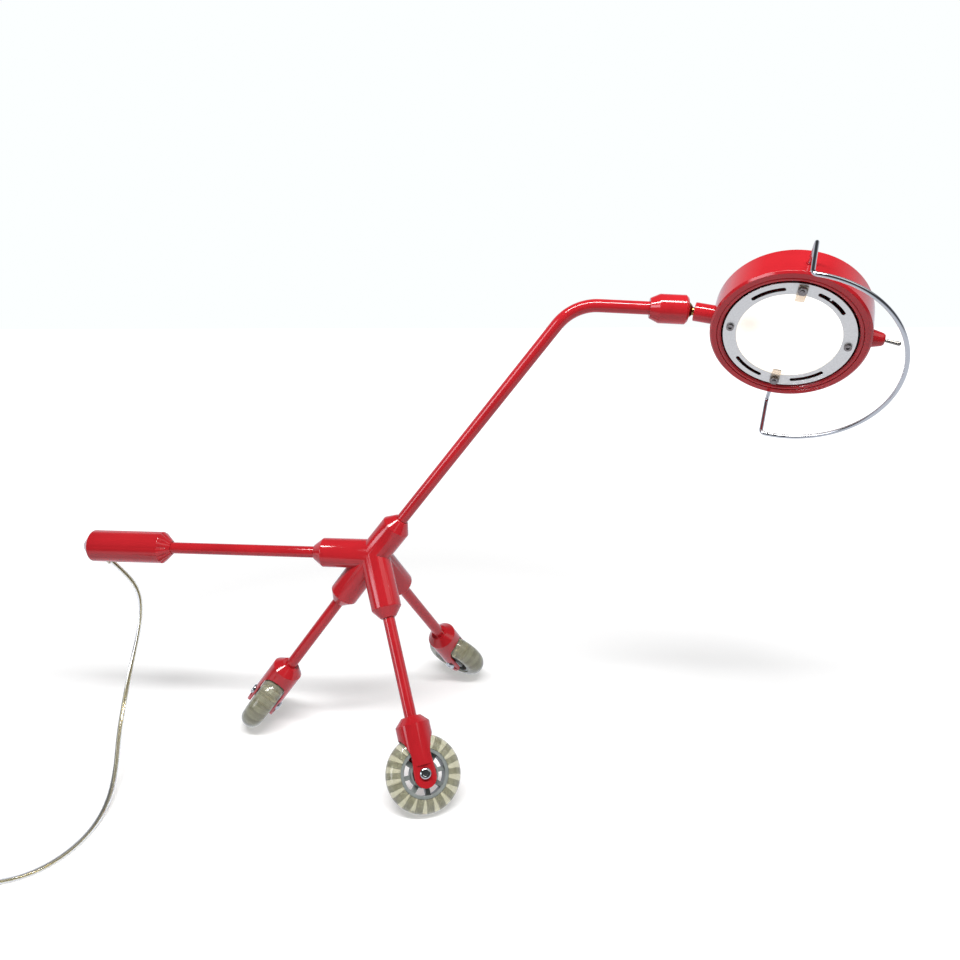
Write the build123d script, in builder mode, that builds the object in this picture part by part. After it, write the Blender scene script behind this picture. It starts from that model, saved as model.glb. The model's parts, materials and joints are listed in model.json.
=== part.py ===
# Rolling task lamp: a red tube frame on three skate wheels, a counterweight on a tail rod,
# and a shallow drum head on a ball joint, with a chrome wire handle that swings round the drum.
#
# The origin is on the floor under the hub, +Z up. The arm reaches towards +X and the tail
# towards -X. Sizes are in millimetres and angles in degrees.

import os
from math import asin, ceil, cos, pi, radians, sin, sqrt, tan

from build123d import *

os.makedirs("parts", exist_ok=True)

# Tubes that the frame is made of
rod_radius = 5.0
rod_bore = 3.5
flex_radius = 2.6
socket_clearance = 0.05
running_clearance = 0.05
screw_clearance = 0.15
thread_clearance = 0.02

# Hub: five welded sockets that meet at one point
socket_radius = 12.7
socket_cone = 8.3
socket_mouth = 6.3
leg_socket = 57.0
tail_socket = 53.2
arm_socket = 41.0
socket_depth = 26.0
flex_passage = 3.2

# Legs, one under the tail and two spread towards the head
leg_lean = 37.0
axle_reach = 183.7
leg_azimuths = {"rear": 180.0, "right": -60.0, "left": 60.0}
fork_turns = {"rear": 0.0, "right": 7.0, "left": 0.0}

# Wheels: a clear tyre with a round crown, cast over the ribs of a moulded core
tyre_radius = 30.0
tyre_width = 19.4
tyre_flank_radius = 21.0
rim_radius = 19.0
rim_wall = 2.8
rim_width = 18.4
spoke_count = 8
spoke_width = 3.4
spoke_depth = 9.0
spoke_bite = 0.5
core_hub_radius = 10.9
core_hub_width = 17.8
core_step = 2.5
rib_count = 18
rib_width = 4.8
rib_radius = 27.4
rib_cover = 1.5
bearing_radius = 9.5
bearing_width = 6.0
bearing_shield = 0.6
bearing_ring = 1.6
bearing_lip = 0.3

# Forks: a round bar, slotted for the wheel and waisted between the head and the axle
fork_radius = 14.0
fork_top = 44.5
fork_chamfer = 6.0
fork_slot = 21.0
fork_slot_radius = 21.5
fork_roof = 2.0
fork_socket_depth = 9.0
fork_shoulder = 29.0
fork_waist_height = 14.5
fork_waist = 7.7
fork_foot = 8.7
fork_end = 11.0
flat_depth = 12.6
flat_below = 6.0
flat_above = 6.5

# Axles: a sleeve nut and a screw, both with button heads
sleeve_radius = 3.0
screw_radius = 2.0
button_radius = 4.6
button_height = 2.7
button_side = 0.95
button_crown = 2.1
button_key = 1.5
button_key_depth = 1.5
screw_length = 15.0
screw_end_gap = 0.5
spacer_radius = 4.6
spacer_gap = 0.1

# Tail rod and counterweight
weight_radius = 14.0
weight_wall = 1.5
weight_front = 183.5
weight_cone = 8.5
weight_front_radius = 5.9
weight_back = 262.8
weight_bevel = 6.2
weight_back_radius = 6.8
crimp_count = 10
crimp_radius = 0.9
crimp_start = 2.0
crimp_length = 6.8
slug_front = 196.0
tail_rod_end = 205.0
cap_dome = 3.7
cap_plug = 3.0
cap_inset = 0.4
exit_inset = 18.8
cord_exit_slant = 45.0
bush_radius = 3.4
bush_outside = 1.2
bush_inside = 2.6
anchor_lead = 1.0
anchor_length = 12.5
anchor_width = 12.0
anchor_height = 9.0
anchor_round = 1.5
slug_gap = 9.0

# Arm: one tube that rises from the hub and bends over, turning in its socket
arm_rise = 51.6
arm_reach = 267.5
arm_bend = 38.0
arm_droop = 3.0
arm_tube_start = 17.0
arm_groove = 28.0
arm_groove_width = 4.6
arm_groove_depth = 0.7
set_screw_radius = 2.0
set_screw_clearance = 0.3
set_screw_sunk = 0.2
set_screw_key = 1.2
flex_reach = 15.0
flex_gap = 0.6
flex_bend = 20.0

# Collar that holds the ball at the end of the arm
collar_start = 57.4
collar_cone = 7.2
collar_small_radius = 7.6
collar_radius = 11.0
collar_end = 86.0
collar_end_chamfer = 2.0
collar_lip = 12.0
collar_bore_length = 9.6
ferrule_radius = 6.8
ferrule_length = 3.0
seat_length = 8.0
seat_gap = 0.4

# Ball stud and neck
ball_radius = 7.0
ball_inset = 3.0
stud_radius = 3.0
stud_bore = 1.3
neck_radius = 7.0
neck_gap = 7.8
neck_chamfer = 0.8
neck_spigot = 3.9
neck_nut_radius = 5.8
neck_nut_length = 3.0
neck_spigot_inset = 1.0
ball_to_head = 76.5
neck_azimuth = -12.3
neck_elevation = -9.1
head_turn = -57.5

# Drum head: its own Z is the way the light goes, and its fittings are at height 0
drum_radius = 55.0
drum_wall = 1.5
drum_front = 11.6
drum_back = 16.4
drum_edge = 1.5
rim_lip = 5.2
rim_step = 1.2
bead_width = 2.6
bead_height = 1.04
bead_step = 0.4
rim_depth = 4.0

# Parts inside the drum's mouth
ring_gap = 1.4
ring_width = 9.4
ring_recess = 1.0
ring_thickness = 1.2
ring_screw_inset = 4.7
slot_inset = 5.1
slot_width = 2.7
slot_span = 31.0
slot_angles = (57.5, 122.5, -122.5, -57.5)
tab_angle = 61.7
tab_size = 1.5
glass_overlap = 0.8
glass_thickness = 3.0
glass_edge = 0.6
glass_gap = 0.05
glass_side_gap = 0.2
flange_gap = 0.2
reflector_wall = 0.8
reflector_ledge = 2.0
reflector_floor = 8.5
reflector_slope = 8.8
pillar_radius = 2.6
ring_screw_radius = 1.5
ring_head_radius = 2.7
ring_head_height = 1.6
ring_screw_length = 9.0
ring_key = 1.35
ring_key_depth = 0.96
ring_nut_radius = 3.3
ring_nut_height = 2.2
ring_screw_proud = 0.8
clip_width = 6.5
clip_reach = 9.5
clip_thickness = 1.0
clip_outer = 3.4
clip_corner = 1.2
bulb_radius = 4.6
bulb_length = 32.0
bulb_press = 6.0
bulb_press_width = 7.8
bulb_press_depth = 3.2
bulb_shoulder = 3.0
bulb_foot_gap = 0.1
bulb_center_height = -2.2
bulb_pin_radius = 0.6
bulb_pin_spread = 2.6
bulb_pin_length = 4.0
holder_face = -13.0
holder_length = 12.0
holder_width = 16.0
holder_height = 11.0
holder_corner = 2.0

# Switch
switch_angle = 3.0
boss_radius = 6.8
boss_neck_radius = 4.7
boss_tip_radius = 3.7
boss_nose = 1.5
boss_height = 8.4
boss_sunk = 0.4
switch_barrel = 3.0
switch_depth = 8.6
switch_width = 13.0
switch_height = 8.0
terminal_spread = 4.6
terminal_length = 2.0
terminal_width = 2.4
terminal_thickness = 0.8
switch_mouth_wall = 0.4
switch_throat = 1.6
lever_pivot_reach = 5.0
lever_ball = 2.0
lever_radius = 1.05
lever_tip_radius = 1.5
lever_length = 14.4
lever_tilt = 10.0

# Wire handle
wire_radius = 1.5
hoop_span = 72.4
hoop_reach = 38.3
hoop_bend = 3.5
hoop_grip = 5.0
hoop_bush_radius = 2.6
hoop_bush_length = 3.5
hoop_bush_proud = 0.6

# Supply cord: clear twin flex, as wide as this diameter
cord_diameter = 4.4
cord_gap = 0.5
coil_center = (-298.0, -181.0)
coil_turn_radius = 31.0
coil_layer_halves = 4
coil_layers = 4
coil_lift = 0.9
cord_lead_in = 22.0
cord_exit_run = 15.2
cord_end_run = 17.8
tie_width = 8.0
tie_thickness = 0.8
tie_round = 3.0
tie_side_gap = 0.3
tie_top_gap = 0.1
plug_length = 35.0
plug_width = 26.0
plug_height = 13.6
plug_side = 12.0
plug_waist_width = 23.4
plug_tail_width = 12.0
plug_tail_height = 9.5
plug_corner = 5.4
plug_tail_corner = 4.0
plug_gap = 0.5
plug_pin_radius = 2.0
plug_pin_length = 19.0
plug_pin_spacing = 18.6
plug_pin_round = 0.8

# How far a cut runs past the surface that it opens
cut_over = 2.0


# Frames of reference

def unit(azimuth, elevation):
    """Direction with the given compass angle from +X and angle above the floor."""
    level = cos(radians(elevation))
    return Vector(level * cos(radians(azimuth)), level * sin(radians(azimuth)), sin(radians(elevation)))


def lathe(plane):
    """Plane through another's axis: X runs along that axis and Y away from it."""
    return Plane(origin=plane.origin, x_dir=plane.z_dir, z_dir=plane.y_dir)


def turn(plane, outline, mode=Mode.ADD):
    """Turn an outline of (height, radius) points about the plane's own axis."""
    with BuildSketch(lathe(plane)) as profile:
        with BuildLine():
            Polyline(*outline, close=True)
        make_face()
    revolve(profile.sketch, axis=Axis(plane.origin, plane.z_dir), mode=mode)


def cap_arc(base, radius, height):
    """Arc of a round cap's outline, from its rim at a base height to its crown on the axis."""
    sphere = (radius**2 + height**2) / (2 * height)
    half = asin(min(1.0, radius / sphere)) / 2
    middle = (base + height - sphere * (1 - cos(half)), sphere * sin(half))
    return ThreePointArc((base, radius), middle, (base + height, 0))


def barrel(plane, start, end, radius, mode=Mode.ADD):
    """Round bar or hole along the plane's axis between two heights."""
    turn(plane, [(start, 0), (end, 0), (end, radius), (start, radius)], mode)


def crown_turn(plane, bore, half, flank, crown, mode=Mode.ADD):
    """Turn a ring with flat sides and a round crown about the plane's axis."""
    with BuildSketch(lathe(plane)) as profile:
        with BuildLine():
            Line((half, bore), (half, flank))
            EllipticalCenterArc((0, flank), half, crown - flank, start_angle=0, arc_size=180)
            Line((-half, flank), (-half, bore))
            Line((-half, bore), (half, bore))
        make_face()
    revolve(profile.sketch, axis=Axis(plane.origin, plane.z_dir), mode=mode)


def save(piece, name):
    """Name a finished piece and write it to its own file."""
    piece.part.label = name
    export_step(piece.part, f"parts/{name}.step")


def tread_drop(axle):
    """Height of a wheel's centre over the floor, for an axle along the given direction."""
    upright = sqrt(1 - axle.Z**2)
    crown = sqrt(((tyre_radius - tyre_flank_radius) * upright) ** 2 + (tyre_width / 2 * axle.Z) ** 2)
    return tyre_flank_radius * upright + crown


# The rear leg sets the hub's height; each leg's axle is where its tyre meets the floor
hub_height = axle_reach * cos(radians(leg_lean)) + tread_drop(unit(leg_azimuths["rear"], leg_lean))
hub_center = Vector(0, 0, hub_height)

leg_planes = {}
fork_planes = {}
wheel_planes = {}
leg_reaches = {}
for leg_name, azimuth in leg_azimuths.items():
    down_leg = unit(azimuth, leg_lean - 90)
    axle_axis = unit(azimuth, leg_lean).rotate(Axis((0, 0, 0), down_leg), fork_turns[leg_name])
    leg_reaches[leg_name] = (hub_height - tread_drop(axle_axis)) / cos(radians(leg_lean))
    axle_center = hub_center + down_leg * leg_reaches[leg_name]
    leg_planes[leg_name] = Plane(origin=hub_center, x_dir=axle_axis, z_dir=down_leg)
    fork_planes[leg_name] = Plane(origin=axle_center, x_dir=axle_axis, z_dir=down_leg * -1)
    wheel_planes[leg_name] = Plane(origin=axle_center, x_dir=down_leg, z_dir=axle_axis)

# Radii that follow the drum's: its lip and bead, then the ring, the glass and what they hold
inner_radius = drum_radius - drum_wall
lip_inner = drum_radius - rim_lip
bead_inner = lip_inner - bead_width
rim_mouth = bead_inner - bead_step
ring_outer = rim_mouth - ring_gap
ring_inner = ring_outer - ring_width
ring_screw_circle = ring_outer - ring_screw_inset
slot_circle = ring_outer - slot_inset
glass_radius = ring_inner + glass_overlap
reflector_floor_radius = glass_radius - reflector_slope
lever_pivot = drum_radius + lever_pivot_reach
hoop_inner_end = drum_radius - hoop_grip

tail_plane = Plane(origin=hub_center, x_dir=(0, 0, 1), z_dir=(-1, 0, 0))
arm_axis = unit(0, arm_rise)
arm_plane = Plane(origin=hub_center, x_dir=(0, 1, 0), z_dir=arm_axis)
arm_corner = hub_center + arm_axis * arm_reach
end_axis = unit(0, -arm_droop)
end_plane = Plane(origin=arm_corner, x_dir=(0, 1, 0), z_dir=end_axis)
ball_center = arm_corner + end_axis * (collar_end - ball_inset)
neck_axis = unit(neck_azimuth, neck_elevation)
neck_plane = Plane(origin=ball_center, x_dir=(0, 0, 1), z_dir=neck_axis)
below_neck = Vector(0, 0, -1) + neck_axis * neck_axis.Z
light_axis = below_neck.normalized().rotate(Axis((0, 0, 0), neck_axis), head_turn)
head_center = ball_center + neck_axis * ball_to_head
head_plane = Plane(origin=head_center, x_dir=neck_axis, z_dir=light_axis)


def head_point(x, y, z):
    """Point given in the head's own frame."""
    return head_plane.from_local_coords(Vector(x, y, z))


def head_spoke(angle):
    """Plane on the head's axis whose own axis points out through the wall at an angle."""
    outward = head_plane.x_dir.rotate(Axis((0, 0, 0), head_plane.z_dir), angle)
    return Plane(origin=head_center, x_dir=head_plane.z_dir, z_dir=outward)


def head_post(radius, angle):
    """Plane parallel to the drum's face, centred on one of its screws."""
    foot = head_point(radius * cos(radians(angle)), radius * sin(radians(angle)), 0)
    return Plane(origin=foot, x_dir=head_plane.x_dir, z_dir=head_plane.z_dir)


def flex_route(back, up):
    """Line from the tail through the hub and up the arm, with one easy bend."""
    tail_end = hub_center + tail_plane.z_dir * back
    return FilletPolyline(tail_end, hub_center, hub_center + arm_axis * up, radius=flex_bend)


# Hub

sockets = [(leg_planes[name], leg_socket) for name in leg_planes]
sockets += [(tail_plane, tail_socket), (arm_plane, arm_socket)]

with BuildPart() as hub:
    for socket_plane, length in sockets:
        cone_start = length - socket_cone
        turn(
            socket_plane,
            [(0, 0), (length, 0), (length, socket_mouth), (cone_start, socket_radius), (0, socket_radius)],
        )
    for socket_plane, length in sockets:
        barrel(socket_plane, length - socket_depth, length, rod_radius + socket_clearance, Mode.SUBTRACT)
    with BuildLine() as passage:
        flex_route(tail_socket, arm_socket)
    with BuildSketch(Plane(origin=passage.line @ 0, z_dir=passage.line % 0)):
        Circle(flex_passage)
    sweep(mode=Mode.SUBTRACT)
    with BuildSketch(Plane(origin=hub_center + arm_axis * arm_groove, z_dir=unit(0, arm_rise - 90))):
        Circle(set_screw_radius + socket_clearance)
    extrude(amount=socket_radius * 2, mode=Mode.SUBTRACT)
save(hub, "hub")

# Set screw under the arm's socket, whose tip runs in a groove and stops the arm's swing
screw_plane = Plane(origin=hub_center + arm_axis * arm_groove, x_dir=(0, 1, 0), z_dir=unit(0, arm_rise - 90))
with BuildPart() as arm_set_screw:
    screw_tip = rod_radius - arm_groove_depth + set_screw_clearance
    screw_top = socket_radius - set_screw_sunk
    barrel(screw_plane, screw_tip, screw_top, set_screw_radius)
    with BuildSketch(screw_plane.offset(screw_top - button_key_depth)):
        RegularPolygon(radius=set_screw_key, side_count=6)
    extrude(amount=button_key_depth + cut_over, mode=Mode.SUBTRACT)
save(arm_set_screw, "arm_set_screw")


# Legs and forks

for leg_name, leg_plane in leg_planes.items():
    fork_plane = fork_planes[leg_name]
    with BuildPart() as leg_tube:
        tube_start = leg_socket - socket_depth
        tube_end = leg_reaches[leg_name] - fork_top + fork_socket_depth
        barrel(leg_plane, tube_start, tube_end, rod_radius)
        barrel(leg_plane, tube_start, tube_end, rod_bore, Mode.SUBTRACT)
    save(leg_tube, f"leg_tube_{leg_name}")

    with BuildPart() as fork:
        with BuildSketch(fork_plane.offset(-fork_end)):
            Circle(fork_radius)
        extrude(amount=fork_end + fork_top)
        chamfer(fork.faces().sort_by(Axis(fork_plane.origin, fork_plane.z_dir))[-1].edges(), fork_chamfer)
        cheek_plane = Plane(origin=fork_plane.origin, x_dir=fork_plane.y_dir, z_dir=fork_plane.x_dir)
        with BuildSketch(cheek_plane):
            with BuildLine():
                Line((0, fork_top), (fork_radius, fork_top))
                Line((fork_radius, fork_top), (fork_radius, fork_shoulder))
                Spline(
                    (fork_radius, fork_shoulder),
                    (fork_waist, fork_waist_height),
                    (fork_foot, 0),
                    tangents=[(-0.35, -1), (0, -1)],
                )
                Line((fork_foot, 0), (fork_foot, -fork_end + fork_foot))
                ThreePointArc(
                    (fork_foot, -fork_end + fork_foot),
                    (fork_foot * sin(radians(45)), -fork_end + fork_foot * (1 - cos(radians(45)))),
                    (0, -fork_end),
                )
                mirror(about=Plane.YZ)
            make_face()
        extrude(amount=fork_radius, both=True, mode=Mode.INTERSECT)
        crown_turn(
            wheel_planes[leg_name], 0, fork_slot / 2, fork_slot_radius, tyre_radius + fork_roof, Mode.SUBTRACT
        )
        for side in (-1, 1):
            flat_plane = Plane(
                origin=fork_plane.origin + fork_plane.x_dir * (side * flat_depth),
                x_dir=fork_plane.y_dir,
                z_dir=fork_plane.x_dir * side,
            )
            middle = (flat_above - flat_below) / 2
            with BuildSketch(flat_plane):
                with Locations((0, side * middle)):
                    Rectangle(fork_radius * 2, flat_above + flat_below)
            extrude(amount=fork_radius, mode=Mode.SUBTRACT)
        with BuildSketch(cheek_plane):
            Circle(sleeve_radius + socket_clearance)
        extrude(amount=fork_radius, both=True, mode=Mode.SUBTRACT)
        tube_seat = fork_top - fork_socket_depth
        barrel(fork_plane, tube_seat, fork_top, rod_radius + socket_clearance, Mode.SUBTRACT)
    save(fork, f"fork_{leg_name}")


# Axles

def button(plane, seat):
    """Button head with a hexagon socket, sitting at a height on the plane's axis."""
    crown = seat + button_height
    with BuildSketch(lathe(plane)) as dome:
        with BuildLine():
            Line((seat, 0), (seat, button_radius))
            Line((seat, button_radius), (seat + button_side, button_radius))
            TangentArc((seat + button_side, button_radius), (crown, button_crown), tangent=(1, 0))
            Line((crown, button_crown), (crown, 0))
            Line((crown, 0), (seat, 0))
        make_face()
    revolve(dome.sketch, axis=Axis(plane.origin, plane.z_dir))
    with BuildSketch(plane.offset(crown - button_key_depth)) as key:
        RegularPolygon(radius=button_key, side_count=6)
    extrude(key.sketch, amount=button_key_depth, mode=Mode.SUBTRACT)


with BuildPart() as axle_sleeves:
    for leg_name, wheel_plane in wheel_planes.items():
        inner_side = Plane(origin=wheel_plane.origin, x_dir=wheel_plane.x_dir, z_dir=wheel_plane.z_dir * -1)
        barrel(inner_side, -flat_depth, flat_depth, sleeve_radius)
        button(inner_side, flat_depth)
        barrel(inner_side, -flat_depth, screw_length - flat_depth, screw_radius, Mode.SUBTRACT)
save(axle_sleeves, "axle_sleeves")

with BuildPart() as axle_screws:
    for leg_name, wheel_plane in wheel_planes.items():
        screw_end = flat_depth - screw_length + screw_end_gap
        barrel(wheel_plane, screw_end, flat_depth, screw_radius - thread_clearance)
        button(wheel_plane, flat_depth)
save(axle_screws, "axle_screws")

with BuildPart() as axle_spacers:
    for leg_name, wheel_plane in wheel_planes.items():
        for side in (-1, 1):
            inner_face = side * (core_hub_width / 2 + spacer_gap)
            outer_face = side * fork_slot / 2
            barrel(wheel_plane, inner_face, outer_face, spacer_radius)
            barrel(wheel_plane, inner_face, outer_face, sleeve_radius + socket_clearance, Mode.SUBTRACT)
save(axle_spacers, "axle_spacers")


# Wheels: moulded core, ribbed tyre and two ball bearings each

for leg_name, wheel_plane in wheel_planes.items():
    with BuildPart() as ribs:
        crown_turn(
            wheel_plane, rim_radius - spoke_bite, tyre_width / 2 - rib_cover, tyre_flank_radius, rib_radius
        )
        with BuildSketch(wheel_plane.offset(-tyre_width / 2)):
            with PolarLocations(tyre_flank_radius, rib_count):
                Rectangle(tyre_flank_radius, rib_width)
        extrude(amount=tyre_width, mode=Mode.INTERSECT)

    with BuildPart() as wheel_core:
        turn(
            wheel_plane,
            [
                (-rim_width / 2, rim_radius - rim_wall),
                (rim_width / 2, rim_radius - rim_wall),
                (rim_width / 2, rim_radius),
                (-rim_width / 2, rim_radius),
            ],
        )
        turn(
            wheel_plane,
            [
                (-core_hub_width / 2, bearing_radius),
                (core_hub_width / 2, bearing_radius),
                (core_hub_width / 2, core_hub_radius),
                (-core_hub_width / 2, core_hub_radius),
            ],
        )
        spoke_mid = (core_hub_radius + rim_radius - rim_wall) / 2
        with BuildSketch(wheel_plane.offset(-spoke_depth / 2)):
            with PolarLocations(spoke_mid, spoke_count, start_angle=0):
                Rectangle(rim_radius - rim_wall - core_hub_radius + 2 * spoke_bite, spoke_width)
        extrude(amount=spoke_depth)
        bearing_seat = core_hub_width / 2 - bearing_width
        barrel(wheel_plane, -bearing_seat, bearing_seat, (bearing_radius + core_hub_radius) / 2)
        barrel(wheel_plane, -bearing_seat, bearing_seat, sleeve_radius + core_step, Mode.SUBTRACT)
        add(ribs.part)
    save(wheel_core, f"wheel_core_{leg_name}")

    with BuildPart() as tyre:
        bore = rim_radius + socket_clearance
        crown_turn(wheel_plane, bore, tyre_width / 2, tyre_flank_radius, tyre_radius)
        add(ribs.part, mode=Mode.SUBTRACT)
    save(tyre, f"tyre_{leg_name}")

    with BuildPart() as bearings:
        for side in (-1, 1):
            inner_end = side * (core_hub_width / 2 - bearing_width)
            outer_end = side * core_hub_width / 2
            shield = outer_end - side * bearing_shield
            turn(
                wheel_plane,
                [
                    (inner_end, sleeve_radius + running_clearance),
                    (outer_end, sleeve_radius + running_clearance),
                    (outer_end, sleeve_radius + bearing_ring),
                    (shield, sleeve_radius + bearing_ring + bearing_lip),
                    (shield, bearing_radius - bearing_ring),
                    (outer_end, bearing_radius - bearing_ring + bearing_lip),
                    (outer_end, bearing_radius - socket_clearance),
                    (inner_end, bearing_radius - socket_clearance),
                ],
            )
    save(bearings, f"wheel_bearings_{leg_name}")


# Tail rod and counterweight

with BuildPart() as tail_tube:
    barrel(tail_plane, tail_socket - socket_depth, tail_rod_end, rod_radius)
    barrel(tail_plane, tail_socket - socket_depth, tail_rod_end, rod_bore, Mode.SUBTRACT)
save(tail_tube, "tail_tube")

exit_axis = Vector(sin(radians(cord_exit_slant)), 0, -cos(radians(cord_exit_slant)))
cord_exit = weight_back - exit_inset
anchor_start = cord_exit - anchor_lead
slug_back = anchor_start - slug_gap
exit_point = hub_center + Vector(-cord_exit, 0, -weight_radius)
exit_plane = Plane(origin=exit_point, x_dir=(0, 1, 0), z_dir=exit_axis)

with BuildPart() as weight_shell:
    body_front = weight_front + weight_cone
    body_back = weight_back - weight_bevel
    inside = weight_radius - weight_wall
    turn(
        tail_plane,
        [
            (weight_front, 0),
            (weight_front, weight_front_radius),
            (body_front, weight_radius),
            (body_back, weight_radius),
            (weight_back, weight_back_radius),
            (weight_back, 0),
        ],
    )
    turn(
        tail_plane,
        [
            (body_front + weight_wall, 0),
            (body_front + weight_wall, inside),
            (body_back, inside),
            (weight_back, weight_back_radius - weight_wall),
            (weight_back, 0),
        ],
        Mode.SUBTRACT,
    )
    barrel(tail_plane, weight_front, body_front + weight_wall, rod_radius + socket_clearance, Mode.SUBTRACT)
    barrel(exit_plane, -bush_inside * 2, bush_outside * 3, bush_radius, Mode.SUBTRACT)
    for step in range(crimp_count):
        around = tail_plane.x_dir.rotate(Axis((0, 0, 0), tail_plane.z_dir), step * 360 / crimp_count)
        foot = hub_center + tail_plane.z_dir * body_front + around * weight_radius
        drop = around * (weight_front_radius - weight_radius) - tail_plane.z_dir * weight_cone
        slope = drop.normalized()
        with BuildSketch(Plane(origin=foot - slope * crimp_start, z_dir=slope)):
            Circle(crimp_radius)
        extrude(amount=crimp_length, mode=Mode.SUBTRACT)
save(weight_shell, "weight_shell")

with BuildPart() as weight_slug:
    barrel(tail_plane, slug_front, slug_back, inside - socket_clearance)
    barrel(tail_plane, slug_front, tail_rod_end, rod_radius + socket_clearance, Mode.SUBTRACT)
    barrel(tail_plane, slug_front, slug_back, rod_bore, Mode.SUBTRACT)
save(weight_slug, "weight_slug")

with BuildPart() as tail_cap:
    plug_radius = weight_back_radius - weight_wall - socket_clearance
    plug_start = weight_back - cap_plug
    cap_edge = weight_back_radius - cap_inset
    with BuildSketch(lathe(tail_plane)):
        with BuildLine():
            Line((plug_start, 0), (plug_start, plug_radius))
            Line((plug_start, plug_radius), (weight_back, plug_radius))
            Line((weight_back, plug_radius), (weight_back, cap_edge))
            cap_arc(weight_back, cap_edge, cap_dome)
            Line((weight_back + cap_dome, 0), (plug_start, 0))
        make_face()
    revolve(axis=Axis(tail_plane.origin, tail_plane.z_dir))
save(tail_cap, "tail_cap")

with BuildPart() as cord_bush:
    barrel(exit_plane, -bush_inside, bush_outside, bush_radius - socket_clearance)
    barrel(exit_plane, -bush_inside, bush_outside, cord_diameter / 2, Mode.SUBTRACT)
save(cord_bush, "cord_bush")

with BuildPart() as cord_anchor:
    with BuildSketch(tail_plane.offset(anchor_start)):
        Rectangle(anchor_height, anchor_width)
    extrude(amount=anchor_length)
    fillet(cord_anchor.edges().filter_by(Axis.X), anchor_round)
    barrel(tail_plane, anchor_start, anchor_start + anchor_length / 2, flex_radius, Mode.SUBTRACT)
save(cord_anchor, "cord_anchor")

# Cord's own end, from under the anchor through the bush
with BuildPart() as cord_entry:
    entry_length = (weight_radius - anchor_height / 2) / cos(radians(cord_exit_slant))
    barrel(exit_plane, -entry_length, bush_outside, cord_diameter / 2 - socket_clearance)
    with BuildSketch(tail_plane.offset(anchor_start)):
        Rectangle(anchor_height, anchor_width)
    extrude(amount=anchor_length * 2, mode=Mode.SUBTRACT)
save(cord_entry, "cord_entry")

# Inner flex, from the anchor through the tail rod and round the hub's middle into the arm
with BuildPart() as tail_flex:
    with BuildLine() as tail_route:
        flex_route(anchor_start + anchor_length / 2, flex_reach)
    with BuildSketch(Plane(origin=tail_route.line @ 0, z_dir=tail_route.line % 0)):
        Circle(flex_radius)
    sweep()
save(tail_flex, "tail_flex")


# Arm

arm_end = collar_start + collar_bore_length + ferrule_length

with BuildPart() as arm_tube:
    with BuildLine() as arm_route:
        FilletPolyline(
            hub_center + arm_axis * arm_tube_start,
            arm_corner,
            arm_corner + end_axis * arm_end,
            radius=arm_bend,
        )
    with BuildSketch(Plane(origin=arm_route.line @ 0, z_dir=arm_route.line % 0)):
        Circle(rod_radius)
        Circle(rod_bore, mode=Mode.SUBTRACT)
    sweep()
    groove_start = arm_groove - arm_groove_width / 2
    turn(
        arm_plane,
        [
            (groove_start, rod_radius - arm_groove_depth),
            (groove_start + arm_groove_width, rod_radius - arm_groove_depth),
            (groove_start + arm_groove_width, rod_radius + cut_over),
            (groove_start, rod_radius + cut_over),
        ],
        Mode.SUBTRACT,
    )
save(arm_tube, "arm_tube")

with BuildPart() as arm_flex:
    with BuildLine() as arm_flex_route:
        FilletPolyline(
            hub_center + arm_axis * (flex_reach + flex_gap),
            arm_corner,
            arm_corner + end_axis * arm_end,
            radius=arm_bend,
        )
    with BuildSketch(Plane(origin=arm_flex_route.line @ 0, z_dir=arm_flex_route.line % 0)):
        Circle(flex_radius)
    sweep()
save(arm_flex, "arm_flex")

# Ferrule pressed on the tube's end, which keeps the collar on
ferrule_start = collar_start + collar_bore_length + running_clearance * 2
with BuildPart() as arm_ferrule:
    barrel(end_plane, ferrule_start, arm_end, ferrule_radius)
    barrel(end_plane, ferrule_start, arm_end, rod_radius + socket_clearance, Mode.SUBTRACT)
save(arm_ferrule, "arm_ferrule")

cavity_radius = ball_radius + running_clearance
ball_height = collar_end - ball_inset
mouth_radius = sqrt(cavity_radius**2 - ball_inset**2)

with BuildPart() as collar:
    turn(
        end_plane,
        [
            (collar_start, 0),
            (collar_start, collar_small_radius),
            (collar_start + collar_cone, collar_radius),
            (collar_end - collar_end_chamfer, collar_radius),
            (collar_end, collar_radius - collar_end_chamfer),
            (collar_end, 0),
        ],
    )
    barrel(end_plane, collar_start, collar_end, rod_radius + running_clearance, Mode.SUBTRACT)
    with BuildSketch(lathe(end_plane)):
        with BuildLine():
            Line((collar_start + collar_bore_length, 0), (collar_start + collar_bore_length, cavity_radius))
            Line((collar_start + collar_bore_length, cavity_radius), (ball_height, cavity_radius))
            ThreePointArc(
                (ball_height, cavity_radius),
                (
                    ball_height + cavity_radius * sin(radians(collar_lip)),
                    cavity_radius * cos(radians(collar_lip)),
                ),
                (collar_end, mouth_radius),
            )
            Line((collar_end, mouth_radius), (collar_end, 0))
            Line((collar_end, 0), (collar_start + collar_bore_length, 0))
        make_face()
    revolve(axis=Axis(end_plane.origin, end_plane.z_dir), mode=Mode.SUBTRACT)
save(collar, "collar")

with BuildPart() as ball_seat:
    seat_back = arm_end + seat_gap
    seat_front = seat_back + seat_length
    barrel(end_plane, seat_back, seat_front, cavity_radius - socket_clearance)
    barrel(end_plane, seat_back, seat_front, flex_radius, Mode.SUBTRACT)
    with BuildSketch(lathe(end_plane)):
        with BuildLine():
            CenterArc((ball_height, 0), cavity_radius, 0, 180)
            Line((ball_height - cavity_radius, 0), (ball_height + cavity_radius, 0))
        make_face()
    revolve(axis=Axis(end_plane.origin, end_plane.z_dir), mode=Mode.SUBTRACT)
save(ball_seat, "ball_seat")

# Ball stud and neck

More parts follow.
